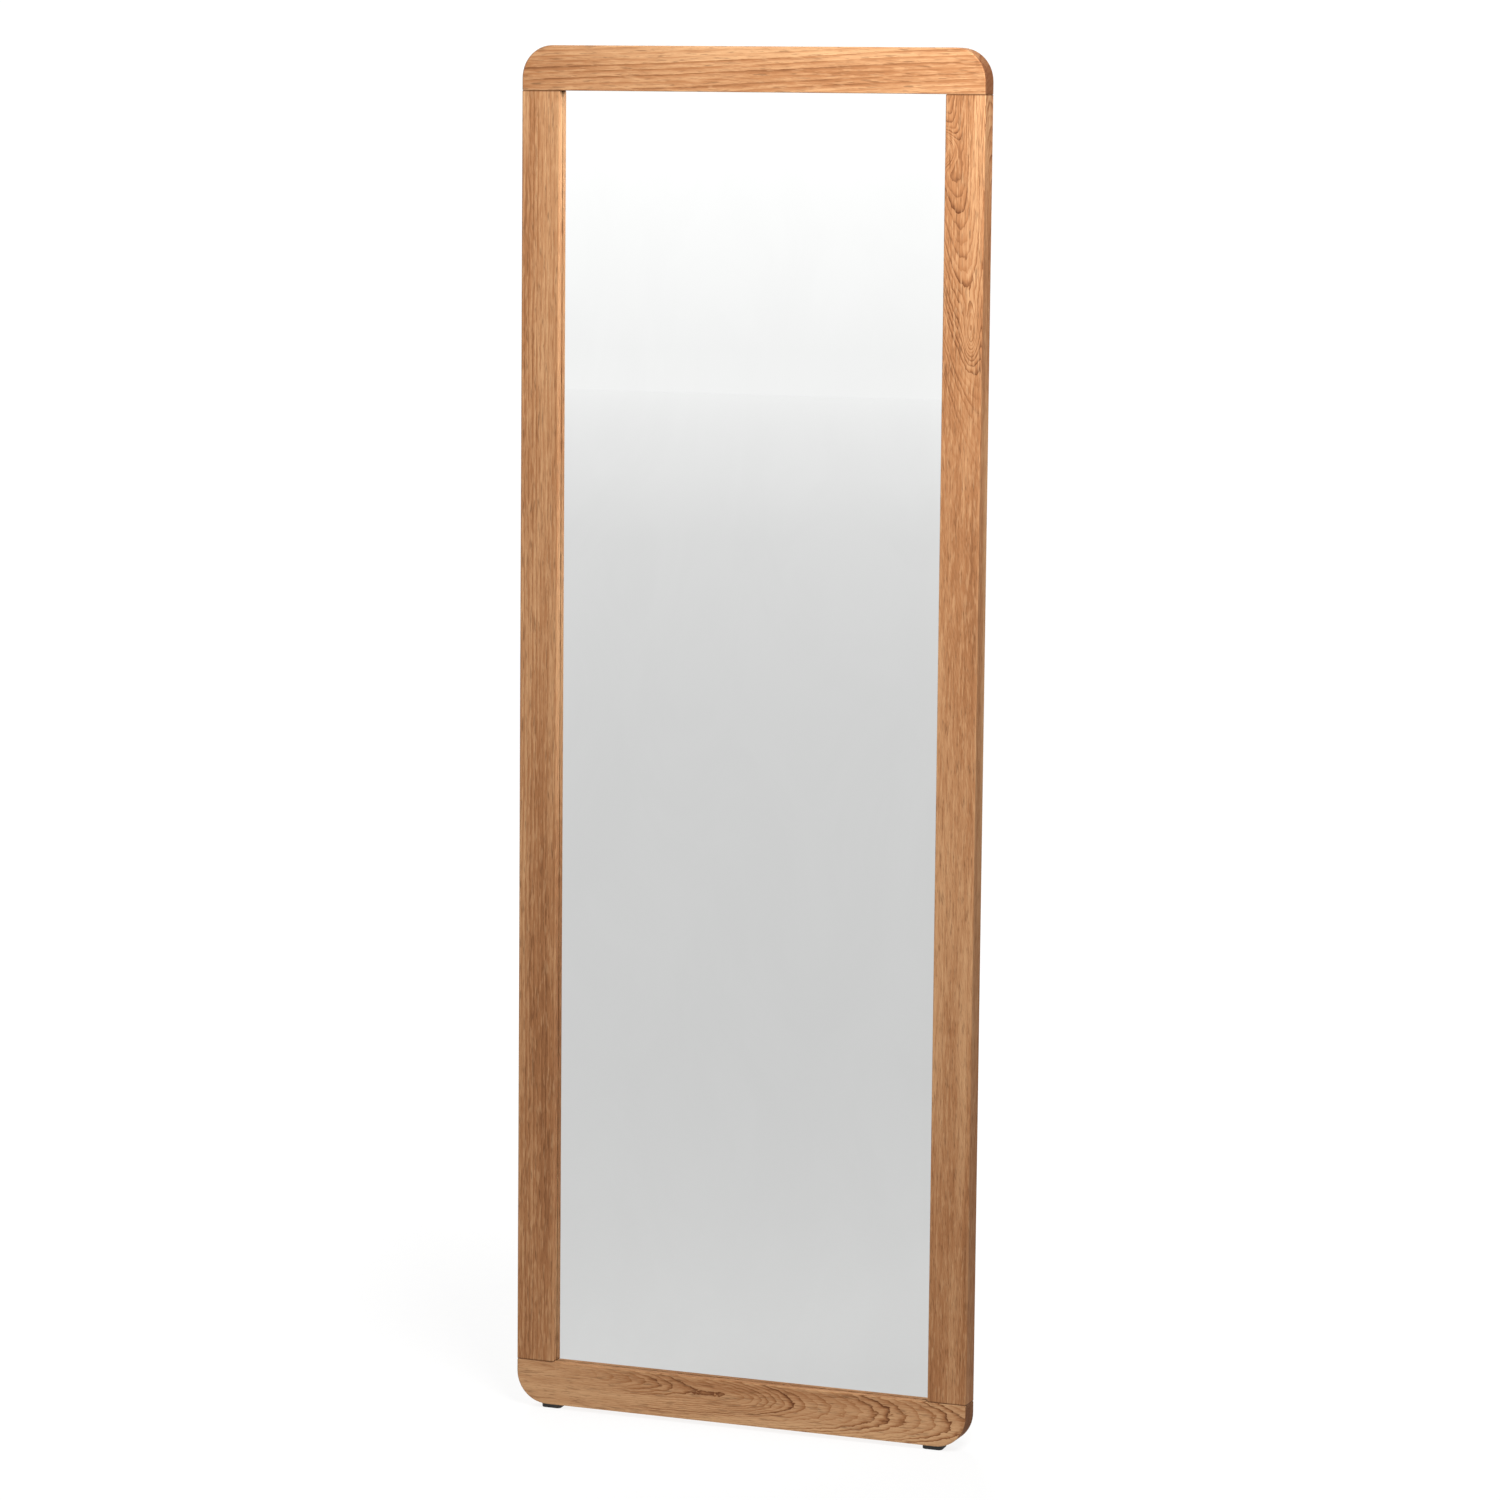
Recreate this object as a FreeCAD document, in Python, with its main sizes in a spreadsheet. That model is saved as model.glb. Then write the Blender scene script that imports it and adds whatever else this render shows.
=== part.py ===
import FreeCAD, Part
import os
import re
from collections import namedtuple

import Sketcher

# A full-length floor mirror: a framed glass that stands on its bottom rail, leans back a little
# and is held up by a ladder-shaped leg, which folds flat against its back on two pivot bolts.
#
# Millimetres. +X is to the right of somebody looking into the glass, +Y is behind it, +Z is up.
# The origin is on the floor, under the middle of the whole mirror with its leg open.
#
# Every piece is drawn in a frame of its own that lies on one of three slopes: the mirror, which
# leans back, the leg, which leans forward from its feet to the pivot, and the level floor. In
# such a frame X is across, Y goes backwards through the thickness and Z goes up the piece.

OUTPUT_FOLDER = "parts"
TOUCH = 1e-4
COUNTERSINK_ANGLE = 90

# Driving sizes, in millimetres and degrees.
SIZES = {
    # the frame
    "frame_width": 600,
    "frame_height": 1700,
    "frame_depth": 30,
    "rail_face": 55,
    "stile_face": 50,
    "corner_radius": 40,
    "arris_radius": 2,
    "seam_ease": 0.8,
    "sight_ease": 1.2,
    "lean": 3,
    # corner dowels
    "dowel_radius": 5,
    "dowel_length": 50,
    "dowel_spread": 20,
    "dowel_fit": 0.05,
    "dowel_end_gap": 1,
    # glass and what holds it
    "sight_depth": 10,
    "rebate_width": 9,
    "tape_thickness": 1,
    "tape_width": 6,
    "tape_inset": 2,
    "glass_thickness": 4,
    "glass_gap": 2,
    "glass_ease": 0.5,
    "block_length": 30,
    "block_inset": 120,
    "board_thickness": 4,
    "bead_width": 8,
    "bead_recess": 1,
    "bead_ease": 2,
    "pin_radius": 0.8,
    "pin_length": 22,
    "pin_sink": 1,
    "pin_fit": 0.02,
    "pin_end_inset": 80,
    "side_pins": 6,
    "rail_pins": 3,
    # hinge rail and its screws
    "hinge_rail_inset": 12,
    "hinge_rail_face": 110,
    "hinge_rail_depth": 18,
    "hinge_rail_ease": 1.5,
    "hinge_rail_screw_edge": 20,
    "rail_screw_length": 42,
    "rail_screw_radius": 2.2,
    "rail_screw_head": 4.4,
    # pivot and its brackets
    "pivot_up": 1140,
    "pivot_standoff": 14.5,
    "plate_thickness": 2,
    "plate_above": 56,
    "plate_below": 28,
    "plate_corner": 4,
    "plate_inset": 1,
    "cheek_half": 15,
    "cheek_nose": 9,
    "bend_radius": 1.5,
    "bracket_screw_spread": 10,
    "bracket_screw_top": 47,
    "bracket_screw_low": 20,
    "bracket_screw_length": 16,
    "bracket_screw_radius": 1.8,
    "bracket_screw_head": 3.5,
    "screw_fit": 0.05,
    "bolt_radius": 3,
    "bolt_fit": 0.1,
    "bolt_end": 2,
    "head_height": 4,
    "hex_radius": 5.77,
    "hex_ease": 0.6,
    "nut_height": 6,
    "washer_radius": 8,
    "washer_thickness": 1,
    "side_play": 0.3,
    "bush_radius": 5,
    "bush_fit": 0.02,
    "running_fit": 0.05,
    # leg
    "leg_lean": 6.5,
    "post_spread": 140,
    "post_width": 32,
    "post_depth": 22,
    "post_rise": 36,
    "post_ease": 1.5,
    "post_round": 8,
    "stop_gap": 0.2,
    "leg_rail_depth": 18,
    "leg_rail_face": 45,
    "upper_rail_drop": 90,
    "lower_rail_rise": 210,
    "leg_dowel_radius": 4,
    "leg_dowel_length": 40,
    "leg_dowel_spread": 22,
    # feet and bumpers
    "front_foot_height": 4,
    "front_foot_half_width": 13,
    "front_foot_half_depth": 11,
    "front_foot_inset": 45,
    "rear_foot_height": 8,
    "rear_foot_half_width": 14,
    "rear_foot_half_depth": 9.5,
    "foot_corner": 5,
    "foot_screw_seat": 1.8,
    "foot_screw_recess": 4.2,
    "foot_screw_length": 20,
    "foot_screw_radius": 1.75,
    "foot_screw_head": 3.6,
    "foot_screw_head_height": 1.4,
    "bumper_radius": 8,
    "bumper_height": 10,
    "bumper_ease": 3,
    "bumper_gap": 0.3,
    # the cross recess of a screw's head, as shares of the head's radius
    "recess_reach": 0.62,
    "recess_blade": 0.14,
    "recess_depth": 0.3,
    # the point of a screw, in radii of its shank
    "point_length": 2,
    # how far a cutting outline passes the faces that it cuts
    "overshoot": 1,
}

# Sizes worked out from the driving sizes.
DERIVED = {
    "lean_sin": "sin(lean * 1 deg)",
    "lean_cos": "cos(lean * 1 deg)",
    "leg_sin": "sin(leg_lean * 1 deg)",
    "leg_cos": "cos(leg_lean * 1 deg)",
    "open_sin": "sin((lean + leg_lean) * 1 deg)",
    "open_cos": "cos((lean + leg_lean) * 1 deg)",
    # the frame and its rebate
    "half_width": "frame_width / 2",
    "opening_half": "half_width - stile_face",
    "stile_length": "frame_height - 2 * rail_face",
    "rebate_half": "opening_half + rebate_width",
    "rebate_low": "rail_face - rebate_width",
    "rebate_high": "frame_height - rebate_low",
    "rebate_depth": "frame_depth - sight_depth",
    "stile_back_middle": "(half_width + rebate_half) / 2",
    "dowel_outer": "stile_back_middle + dowel_spread / 2",
    "dowel_inner": "stile_back_middle - dowel_spread / 2",
    "dowel_hole": "dowel_length / 2 + dowel_end_gap",
    # the glass and the layers behind it
    "glass_half": "rebate_half - glass_gap",
    "glass_low": "rebate_low + glass_gap",
    "glass_high": "rebate_high - glass_gap",
    "glass_front": "sight_depth + tape_thickness",
    "glass_back": "glass_front + glass_thickness",
    "board_back": "glass_back + board_thickness",
    "bead_depth": "frame_depth - bead_recess - board_back",
    "bead_middle": "board_back + bead_depth / 2",
    "side_bead_length": "rebate_high - rebate_low - 2 * bead_width",
    "pin_reach": "pin_sink + pin_length - bead_width",
    "side_pin_run": "side_bead_length - 2 * pin_end_inset",
    "rail_pin_run": "2 * rebate_half - 2 * pin_end_inset",
    # the hinge rail, the brackets and the pivot
    "hinge_rail_back": "frame_depth + hinge_rail_depth",
    "hinge_rail_half": "half_width - hinge_rail_inset",
    "hinge_screw_up": "hinge_rail_face / 2 - hinge_rail_screw_edge",
    "hinge_rail_up": "pivot_up + (plate_above - plate_below) / 2",
    "plate_to_pivot": "pivot_standoff + plate_thickness",
    "pivot_back": "hinge_rail_back + plate_to_pivot",
    "side_gap": "washer_thickness + side_play",
    "bracket_inner": "post_width / 2 + side_gap",
    "bracket_outer": "bracket_inner + plate_thickness",
    "plate_half": "bracket_inner - plate_inset",
    "bolt_length": "2 * bracket_outer + nut_height + bolt_end",
    # where the mirror and the pivot stand
    "mirror_z": "front_foot_height + frame_depth * lean_sin",
    "pivot_z": "mirror_z + pivot_up * lean_cos - pivot_back * lean_sin",
    "pivot_behind_front": "pivot_up * lean_sin + pivot_back * lean_cos",
    "leg_length": "(pivot_z - rear_foot_height) / leg_cos",
    "base_depth": "pivot_behind_front + leg_length * leg_sin + post_depth / 2 * leg_cos",
    "mirror_y": "-base_depth / 2",
    "pivot_y": "mirror_y + pivot_behind_front",
    # the leg
    "facet_start": "(pivot_standoff - stop_gap - post_depth / 2 * open_cos) / open_sin",
    "facet_end": "-(pivot_standoff - stop_gap - post_rise * open_sin) / open_cos",
    "leg_rail_half": "post_spread - post_width / 2",
    "lower_rail_drop": "leg_length - lower_rail_rise",
    "leg_dowel_hole": "leg_dowel_length / 2 + dowel_end_gap",
    # the feet, at the middle of each
    "front_foot_across": "half_width - front_foot_inset",
    "front_foot_centre": "mirror_z - frame_depth / 2 * lean_sin",
    "bumper_up": "rail_face / 2",
    "fold_past_parallel":
        "atan((pivot_back - post_depth / 2 - frame_depth - bumper_height - bumper_gap)"
        " / (pivot_up - bumper_up)) / 1 deg",
    "fold_angle": "lean + leg_lean + fold_past_parallel",
}

Slope = namedtuple("Slope", "y z sine cosine tilt")
MIRROR = Slope("mirror_y", "mirror_z", "lean_sin", "lean_cos", "-lean")
LEG = Slope("pivot_y", "pivot_z", "-leg_sin", "leg_cos", "leg_lean")

doc = FreeCAD.newDocument("FloorMirror")
pieces = []


# ---------------------------------------------------------------- sheets and expressions

def named(text):
    """Put the sheet's name in front of each size in an expression."""
    def with_sheet(match):
        word = match.group()
        if word in SIZES:
            return "Sizes." + word
        return "Derived." + word if word in DERIVED else word
    return re.sub(r"[a-z][a-z_]*", with_sheet, text)


def fill_sheet(name, rows, prefix):
    """One row per size: its name beside its value, with the name as the cell's alias."""
    sheet = doc.addObject("Spreadsheet::Sheet", name)
    for row, (alias, content) in enumerate(rows.items(), start=1):
        sheet.set(f"A{row}", alias)
        sheet.set(f"B{row}", prefix + named(str(content)))
        sheet.setAlias(f"B{row}", alias)
    return sheet


sizes = fill_sheet("Sizes", SIZES, "")
fill_sheet("Derived", DERIVED, "=")
doc.recompute()


def value(text):
    """The number that an expression of sizes has now."""
    return float(sizes.evalExpression(named(text)))


# ---------------------------------------------------------------- bodies, sketches, features

def new_body(label, slope, across="0", back="0", up="0", turn=0):
    """A piece's body, with its own frame at a place on one of the slopes.

    turn swings the frame about X first: at 90 degrees, its Z points to the front."""
    body = doc.addObject("PartDesign::Body", label)
    body.Label = label
    body.AllowCompound = True
    body.Placement = FreeCAD.Placement(FreeCAD.Vector(), FreeCAD.Rotation(FreeCAD.Vector(1, 0, 0), 1))
    body.setExpression("Placement.Base.x", named(across))
    body.setExpression("Placement.Base.y", named(
        f"{slope.y} + ({up}) * ({slope.sine}) + ({back}) * {slope.cosine}"))
    body.setExpression("Placement.Base.z", named(
        f"{slope.z} + ({up}) * {slope.cosine} - ({back}) * ({slope.sine})"))
    body.setExpression("Placement.Rotation.Angle", named(f"({turn} + ({slope.tilt})) * 1 deg"))
    pieces.append(body)
    return body


def origin_of(body, role):
    """One of the planes or axes of a body's own origin."""
    return next(item for item in body.Origin.OriginFeatures if item.Role == role)


def new_sketch(body, plane, offset=None):
    """A sketch on one of the body's origin planes, moved along the plane's normal."""
    drawing = body.newObject("Sketcher::SketchObject", body.Label + "_sketch")
    drawing.AttachmentSupport = [(origin_of(body, plane), "")]
    drawing.MapMode = "FlatFace"
    if offset:
        drawing.setExpression("AttachmentOffset.Base.z", named(offset))
    return drawing


def pin_point(drawing, geometry, end, across, up):
    """Hold a point of the sketch at a place given by two expressions."""
    for kind, text in (("DistanceX", across), ("DistanceY", up)):
        rule = Sketcher.Constraint(kind, -1, 1, geometry, end, value(text))
        number = drawing.addConstraint(rule)
        drawing.renameConstraint(number, f"{kind}{number}")
        drawing.setExpression(f"Constraints.{kind}{number}", named(text))


def draw_outline(drawing, corners):
    """A closed outline of straight lines through corners, each a pair of expressions."""
    points = [FreeCAD.Vector(value(across), value(up), 0) for across, up in corners]
    first = drawing.GeometryCount
    count = len(points)
    for number in range(count):
        line = Part.LineSegment(points[number], points[(number + 1) % count])
        drawing.addGeometry(line, False)
    for number, (across, up) in enumerate(corners):
        following = first + (number + 1) % count
        drawing.addConstraint(Sketcher.Constraint("Coincident", first + number, 2, following, 1))
        pin_point(drawing, first + number, 1, across, up)


def draw_rectangle(drawing, left, right, low, high):
    """A rectangle between two places across and two places up."""
    draw_outline(drawing, [(left, low), (right, low), (right, high), (left, high)])


def draw_circle(drawing, across, up, radius):
    """A circle about a place, with its radius given by an expression."""
    centre = FreeCAD.Vector(value(across), value(up), 0)
    circle = Part.Circle(centre, FreeCAD.Vector(0, 0, 1), value(radius))
    geometry = drawing.addGeometry(circle, False)
    pin_point(drawing, geometry, 3, across, up)
    number = drawing.addConstraint(Sketcher.Constraint("Radius", geometry, value(radius)))
    drawing.renameConstraint(number, f"Radius{number}")
    drawing.setExpression(f"Constraints.Radius{number}", named(radius))


def draw_hexagon(drawing, radius):
    """A hexagon about the sketch's origin, with two flats level."""
    draw_outline(drawing, [
        (f"({radius}) * cos({turn} deg)", f"({radius}) * sin({turn} deg)")
        for turn in range(0, 360, 60)])


def settle(feature):
    """Work the model out again and stop if the new feature failed."""
    doc.recompute()
    if "Invalid" in feature.State or "Error" in feature.State:
        raise RuntimeError(f"{feature.Label} failed: {feature.getStatusString()}")
    return feature


def pad(body, drawing, length, reverse=False, both_ways=False):
    """Thicken a sketch into the body."""
    feature = body.newObject("PartDesign::Pad", body.Label + "_pad")
    feature.Profile = drawing
    feature.setExpression("Length", named(length))
    feature.Reversed = reverse
    feature.SideType = "Symmetric" if both_ways else "One side"
    return settle(feature)


def pocket(body, drawing, depth=None, reverse=False, both_ways=False):
    """Cut a sketch out of the body, to a depth or right through, and check that it does cut."""
    before = body.Shape.Volume
    feature = body.newObject("PartDesign::Pocket", body.Label + "_pocket")
    feature.Profile = drawing
    if depth is None:
        feature.Type = "ThroughAll"
    else:
        feature.setExpression("Length", named(depth))
    feature.Reversed = reverse
    feature.SideType = "Symmetric" if both_ways else "One side"
    settle(feature)
    if body.Shape.Volume > before - TOUCH:
        raise RuntimeError(f"{feature.Label} cuts nothing")
    return feature


def revolve(body, drawing, axis):
    """Turn a sketch right round one of its own axes."""
    feature = body.newObject("PartDesign::Revolution", body.Label + "_revolution")
    feature.Profile = drawing
    feature.ReferenceAxis = (drawing, [axis])
    feature.Angle = 360
    return settle(feature)


def countersink(body, drawing, radius, head, reverse=False):
    """Countersunk screw holes through the body, one at each circle of the sketch."""
    before = body.Shape.Volume
    feature = body.newObject("PartDesign::Hole", body.Label + "_hole")
    feature.Profile = drawing
    doc.recompute()
    feature.DepthType = "ThroughAll"
    feature.HoleCutType = "Countersink"
    feature.HoleCutCountersinkAngle = COUNTERSINK_ANGLE
    feature.setExpression("Diameter", named(f"2 * ({radius} + screw_fit)"))
    feature.setExpression("HoleCutDiameter", named(f"2 * ({head} + screw_fit)"))
    feature.Reversed = reverse
    settle(feature)
    if body.Shape.Volume > before - TOUCH:
        raise RuntimeError(f"{feature.Label} cuts nothing")
    return feature


def ease(body, kind, size, chosen):
    """Fillet or chamfer every edge of the body's last feature that a test picks."""
    base = body.Tip
    names = [f"Edge{number}" for number, edge in enumerate(base.Shape.Edges, start=1)
             if chosen(edge.BoundBox)]
    if not names:
        raise RuntimeError(f"{body.Label} has no edge to ease")
    feature = body.newObject("PartDesign::" + kind, f"{body.Label}_{kind.lower()}")
    feature.Base = (base, names)
    feature.setExpression("Radius" if kind == "Fillet" else "Size", named(size))
    return settle(feature)


def repeat(body, axis, length, count=2):
    """Repeat the whole body along one of its axes, over a length."""
    feature = body.newObject("PartDesign::LinearPattern", body.Label + "_pattern")
    feature.TransformMode = "Whole shape"
    feature.Direction = (origin_of(body, axis), [""])
    feature.setExpression("Length", named(length))
    feature.setExpression("Occurrences", named(str(count)))
    body.Tip = feature
    return settle(feature)


def mirror_across(body):
    """Repeat the whole body on the other side of its YZ plane."""
    feature = body.newObject("PartDesign::Mirrored", body.Label + "_mirror")
    feature.TransformMode = "Whole shape"
    feature.MirrorPlane = (origin_of(body, "YZ_Plane"), [""])
    body.Tip = feature
    return settle(feature)


# ---------------------------------------------------------------- choosing edges

def near(first, second):
    """Whether two lengths are the same."""
    return abs(first - second) < TOUCH


def flat_in(low, high, level):
    """Whether an edge lies in one plane."""
    return near(low, level) and near(high, level)


def runs_along_x(box):
    return box.YLength < TOUCH and box.ZLength < TOUCH


def runs_along_y(box):
    return box.XLength < TOUCH and box.ZLength < TOUCH


def runs_along_z(box):
    return box.XLength < TOUCH and box.YLength < TOUCH


# ---------------------------------------------------------------- the frame

def frame_rail(label, side, up):
    """A full-width rail. Its frame is on the seam with the stiles, and side is 1 for the top."""
    body = new_body(label, MIRROR, up=up)
    outer = f"{side} * rail_face"
    front = new_sketch(body, "XZ_Plane")
    draw_rectangle(front, "-half_width", "half_width", "0", outer)
    pad(body, front, "frame_depth", reverse=True)

    half_width = value("half_width")
    outer_level = value(outer)
    depth = value("frame_depth")

    def outer_corner(box):
        return runs_along_y(box) and near(abs(box.XMax), half_width) and near(box.ZMax, outer_level)
    ease(body, "Fillet", "corner_radius", outer_corner)

    def outer_arris(box):
        on_face = flat_in(box.YMin, box.YMax, 0) or flat_in(box.YMin, box.YMax, depth)
        return on_face and not flat_in(box.ZMin, box.ZMax, 0)
    ease(body, "Fillet", "arris_radius", outer_arris)

    def seam(box):
        return flat_in(box.ZMin, box.ZMax, 0)
    ease(body, "Chamfer", "seam_ease", seam)

    rebate = new_sketch(body, "XZ_Plane", "-frame_depth")
    draw_rectangle(rebate, "-rebate_half", "rebate_half",
                   f"-{side} * overshoot", f"{side} * rebate_width")
    pocket(body, rebate, "rebate_depth", reverse=True)

    joints = new_sketch(body, "XY_Plane")
    for across in ("-dowel_outer", "-dowel_inner", "dowel_inner", "dowel_outer"):
        draw_circle(joints, across, "frame_depth / 2", "dowel_radius + dowel_fit")
    pocket(body, joints, "dowel_hole", reverse=side > 0)

    pins = new_sketch(body, "XY_Plane", f"{side} * rebate_width")
    for across in rail_pin_places():
        draw_circle(pins, across, "bead_middle", "pin_radius + pin_fit")
    pocket(body, pins, "pin_reach", reverse=side > 0)
    return body


def rail_pin_places():
    """Where the pins of the top and bottom beads are, across the mirror."""
    count = int(value("rail_pins"))
    return [f"rail_pin_run * ({number} / {count - 1} - 0.5)" for number in range(count)]


def side_pin_places():
    """Where the pins of the side beads are, up from the bottom rail's rebate."""
    count = int(value("side_pins"))
    return [f"bead_width + pin_end_inset + side_pin_run * {number} / {count - 1}"
            for number in range(count)]


def add_foot_screw_holes(body):
    """Pilot holes for the front feet in the underside of the bottom rail."""
    holes = new_sketch(body, "XY_Plane", "-rail_face")
    for side in (-1, 1):
        draw_circle(holes, f"{side} * front_foot_across", "frame_depth / 2",
                    "foot_screw_radius + screw_fit")
    pocket(body, holes, "foot_screw_length - foot_screw_seat + dowel_end_gap", reverse=True)


def frame_stile(label, side):
    """A stile between the rails. Its frame is at the opening's edge, on the bottom seam."""
    body = new_body(label, MIRROR, across=f"{side} * opening_half", up="rail_face")
    front = new_sketch(body, "XZ_Plane")
    draw_rectangle(front, "0", f"{side} * stile_face", "0", "stile_length")
    pad(body, front, "frame_depth", reverse=True)

    outer = value(f"{side} * stile_face")
    length = value("stile_length")
    depth = value("frame_depth")

    def outer_arris(box):
        return runs_along_z(box) and near(box.XMax, outer)
    ease(body, "Fillet", "arris_radius", outer_arris)

    def sight_arris(box):
        return runs_along_z(box) and near(box.XMax, 0) and near(box.YMax, 0)
    ease(body, "Fillet", "sight_ease", sight_arris)

    def seam(box):
        on_end = flat_in(box.ZMin, box.ZMax, 0) or flat_in(box.ZMin, box.ZMax, length)
        return on_end and not flat_in(box.XMin, box.XMax, 0)
    ease(body, "Chamfer", "seam_ease", seam)

    rebate = new_sketch(body, "XY_Plane")
    draw_rectangle(rebate, f"-{side} * overshoot", f"{side} * rebate_width",
                   "sight_depth", "frame_depth + overshoot")
    pocket(body, rebate, reverse=True)

    for offset, reverse in (("0", True), ("stile_length", False)):
        joints = new_sketch(body, "XY_Plane", offset)
        for across in ("dowel_inner", "dowel_outer"):
            draw_circle(joints, f"{side} * ({across} - opening_half)", "frame_depth / 2",
                        "dowel_radius + dowel_fit")
        pocket(body, joints, "dowel_hole", reverse=reverse)

    screws = new_sketch(body, "XZ_Plane", "-frame_depth")
    for rise in ("hinge_screw_up", "-hinge_screw_up"):
        draw_circle(screws, f"{side} * (stile_back_middle - opening_half)",
                    f"hinge_rail_up + {rise} - rail_face", "rail_screw_radius + screw_fit")
    pocket(body, screws, "rail_screw_length - hinge_rail_depth + dowel_end_gap", reverse=True)

    pins = new_sketch(body, "YZ_Plane", f"{side} * rebate_width")
    for place in side_pin_places():
        draw_circle(pins, "bead_middle", f"{place} - rebate_width", "pin_radius + pin_fit")
    pocket(body, pins, "pin_reach", reverse=side > 0)
    return body


def frame_dowels():
    """Two dowels across each of the four corner joints."""
    body = new_body("frame_dowels", MIRROR, back="frame_depth / 2", up="rail_face")
    section = new_sketch(body, "XY_Plane", "-dowel_length / 2")
    draw_circle(section, "dowel_inner", "0", "dowel_radius")
    pad(body, section, "dowel_length")
    ease(body, "Chamfer", "seam_ease", lambda box: box.ZLength < TOUCH)
    repeat(body, "X_Axis", "dowel_spread")
    repeat(body, "Z_Axis", "stile_length")
    mirror_across(body)


# ---------------------------------------------------------------- the glass and what holds it

def glazing_tape():
    """Four strips of foam tape between the front lip and the glass."""
    body = new_body("glazing_tape", MIRROR, back="sight_depth")
    front = new_sketch(body, "XZ_Plane")
    inner = "(opening_half + tape_inset)"
    outer = f"({inner} + tape_width)"
    low = "(rail_face - tape_inset - tape_width)"
    high = f"(frame_height - {low})"
    draw_rectangle(front, f"-{outer}", outer, low, f"{low} + tape_width")
    draw_rectangle(front, f"-{outer}", outer, f"{high} - tape_width", high)
    for side in (-1, 1):
        draw_rectangle(front, f"{side} * {inner}", f"{side} * {outer}",
                       f"{low} + tape_width + tape_thickness",
                       f"{high} - tape_width - tape_thickness")
    pad(body, front, "tape_thickness", reverse=True)


def mirror_glass():
    """The silvered glass, with its arrises taken off."""
    body = new_body("mirror_glass", MIRROR, back="glass_front")
    front = new_sketch(body, "XZ_Plane")
    draw_rectangle(front, "-glass_half", "glass_half", "glass_low", "glass_high")
    pad(body, front, "glass_thickness", reverse=True)
    ease(body, "Chamfer", "glass_ease", lambda box: not runs_along_y(box))


def setting_blocks():
    """Two rubber blocks that carry the glass and the board in the bottom rail's rebate."""
    body = new_body("setting_blocks", MIRROR, back="glass_front")
    front = new_sketch(body, "XZ_Plane")
    for side in (-1, 1):
        middle = f"{side} * (glass_half - block_inset)"
        draw_rectangle(front, f"{middle} - block_length / 2", f"{middle} + block_length / 2",
                       "rebate_low", "glass_low")
    pad(body, front, "glass_thickness + board_thickness", reverse=True)


def backing_board():
    """The board behind the glass."""
    body = new_body("backing_board", MIRROR, back="glass_back")
    front = new_sketch(body, "XZ_Plane")
    draw_rectangle(front, "-glass_half", "glass_half", "glass_low", "glass_high")
    pad(body, front, "board_thickness", reverse=True)


def ease_bead(body, visible):
    """Chamfer the one long edge of a bead that shows."""
    depth = value("bead_depth")
    ease(body, "Chamfer", "bead_ease", lambda box: near(box.YMin, depth) and visible(box))


def side_bead(label, side):
    """A bead against a stile's rebate. Its frame is at the rebate's wall, on the bottom rebate."""
    body = new_body(label, MIRROR, across=f"{side} * rebate_half", back="board_back", up="rebate_low")
    front = new_sketch(body, "XZ_Plane")
    draw_rectangle(front, f"-{side} * bead_width", "0", "bead_width", "bead_width + side_bead_length")
    pad(body, front, "bead_depth", reverse=True)
    inner = value(f"-{side} * bead_width")
    ease_bead(body, lambda box: runs_along_z(box) and near(box.XMin, inner))
    pins = new_sketch(body, "YZ_Plane", f"-{side} * bead_width")
    for place in side_pin_places():
        draw_circle(pins, "bead_depth / 2", place, "pin_radius + pin_fit")
    pocket(body, pins, reverse=side > 0)


def rail_bead(label, side, up):
    """A bead along a rail's rebate. Its frame is at the rebate's wall, and side is 1 at the top."""
    body = new_body(label, MIRROR, back="board_back", up=up)
    front = new_sketch(body, "XZ_Plane")
    inner = f"-{side} * bead_width"
    draw_rectangle(front, "-rebate_half", "rebate_half", inner, "0")
    pad(body, front, "bead_depth", reverse=True)
    level = value(inner)
    ease_bead(body, lambda box: runs_along_x(box) and near(box.ZMin, level))
    pins = new_sketch(body, "XY_Plane", inner)
    for across in rail_pin_places():
        draw_circle(pins, across, "bead_depth / 2", "pin_radius + pin_fit")
    pocket(body, pins, reverse=side > 0)


def bead_pins():
    """The pins that hold the beads, driven straight through them into the frame."""
    body = new_body("bead_pins", MIRROR, back="bead_middle", up="rebate_low")
    start = "(rebate_half - bead_width + pin_sink)"
    sides = new_sketch(body, "YZ_Plane", start)
    for place in side_pin_places():
        draw_circle(sides, "0", place, "pin_radius")
    pad(body, sides, "pin_length")
    mirror_across(body)
    rise = "(bead_width - pin_sink)"
    for offset, reverse in ((rise, True), (f"rebate_high - rebate_low - {rise}", False)):
        rails = new_sketch(body, "XY_Plane", offset)
        for across in rail_pin_places():
            draw_circle(rails, across, "0", "pin_radius")
        pad(body, rails, "pin_length", reverse=reverse)


# ---------------------------------------------------------------- screws

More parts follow.
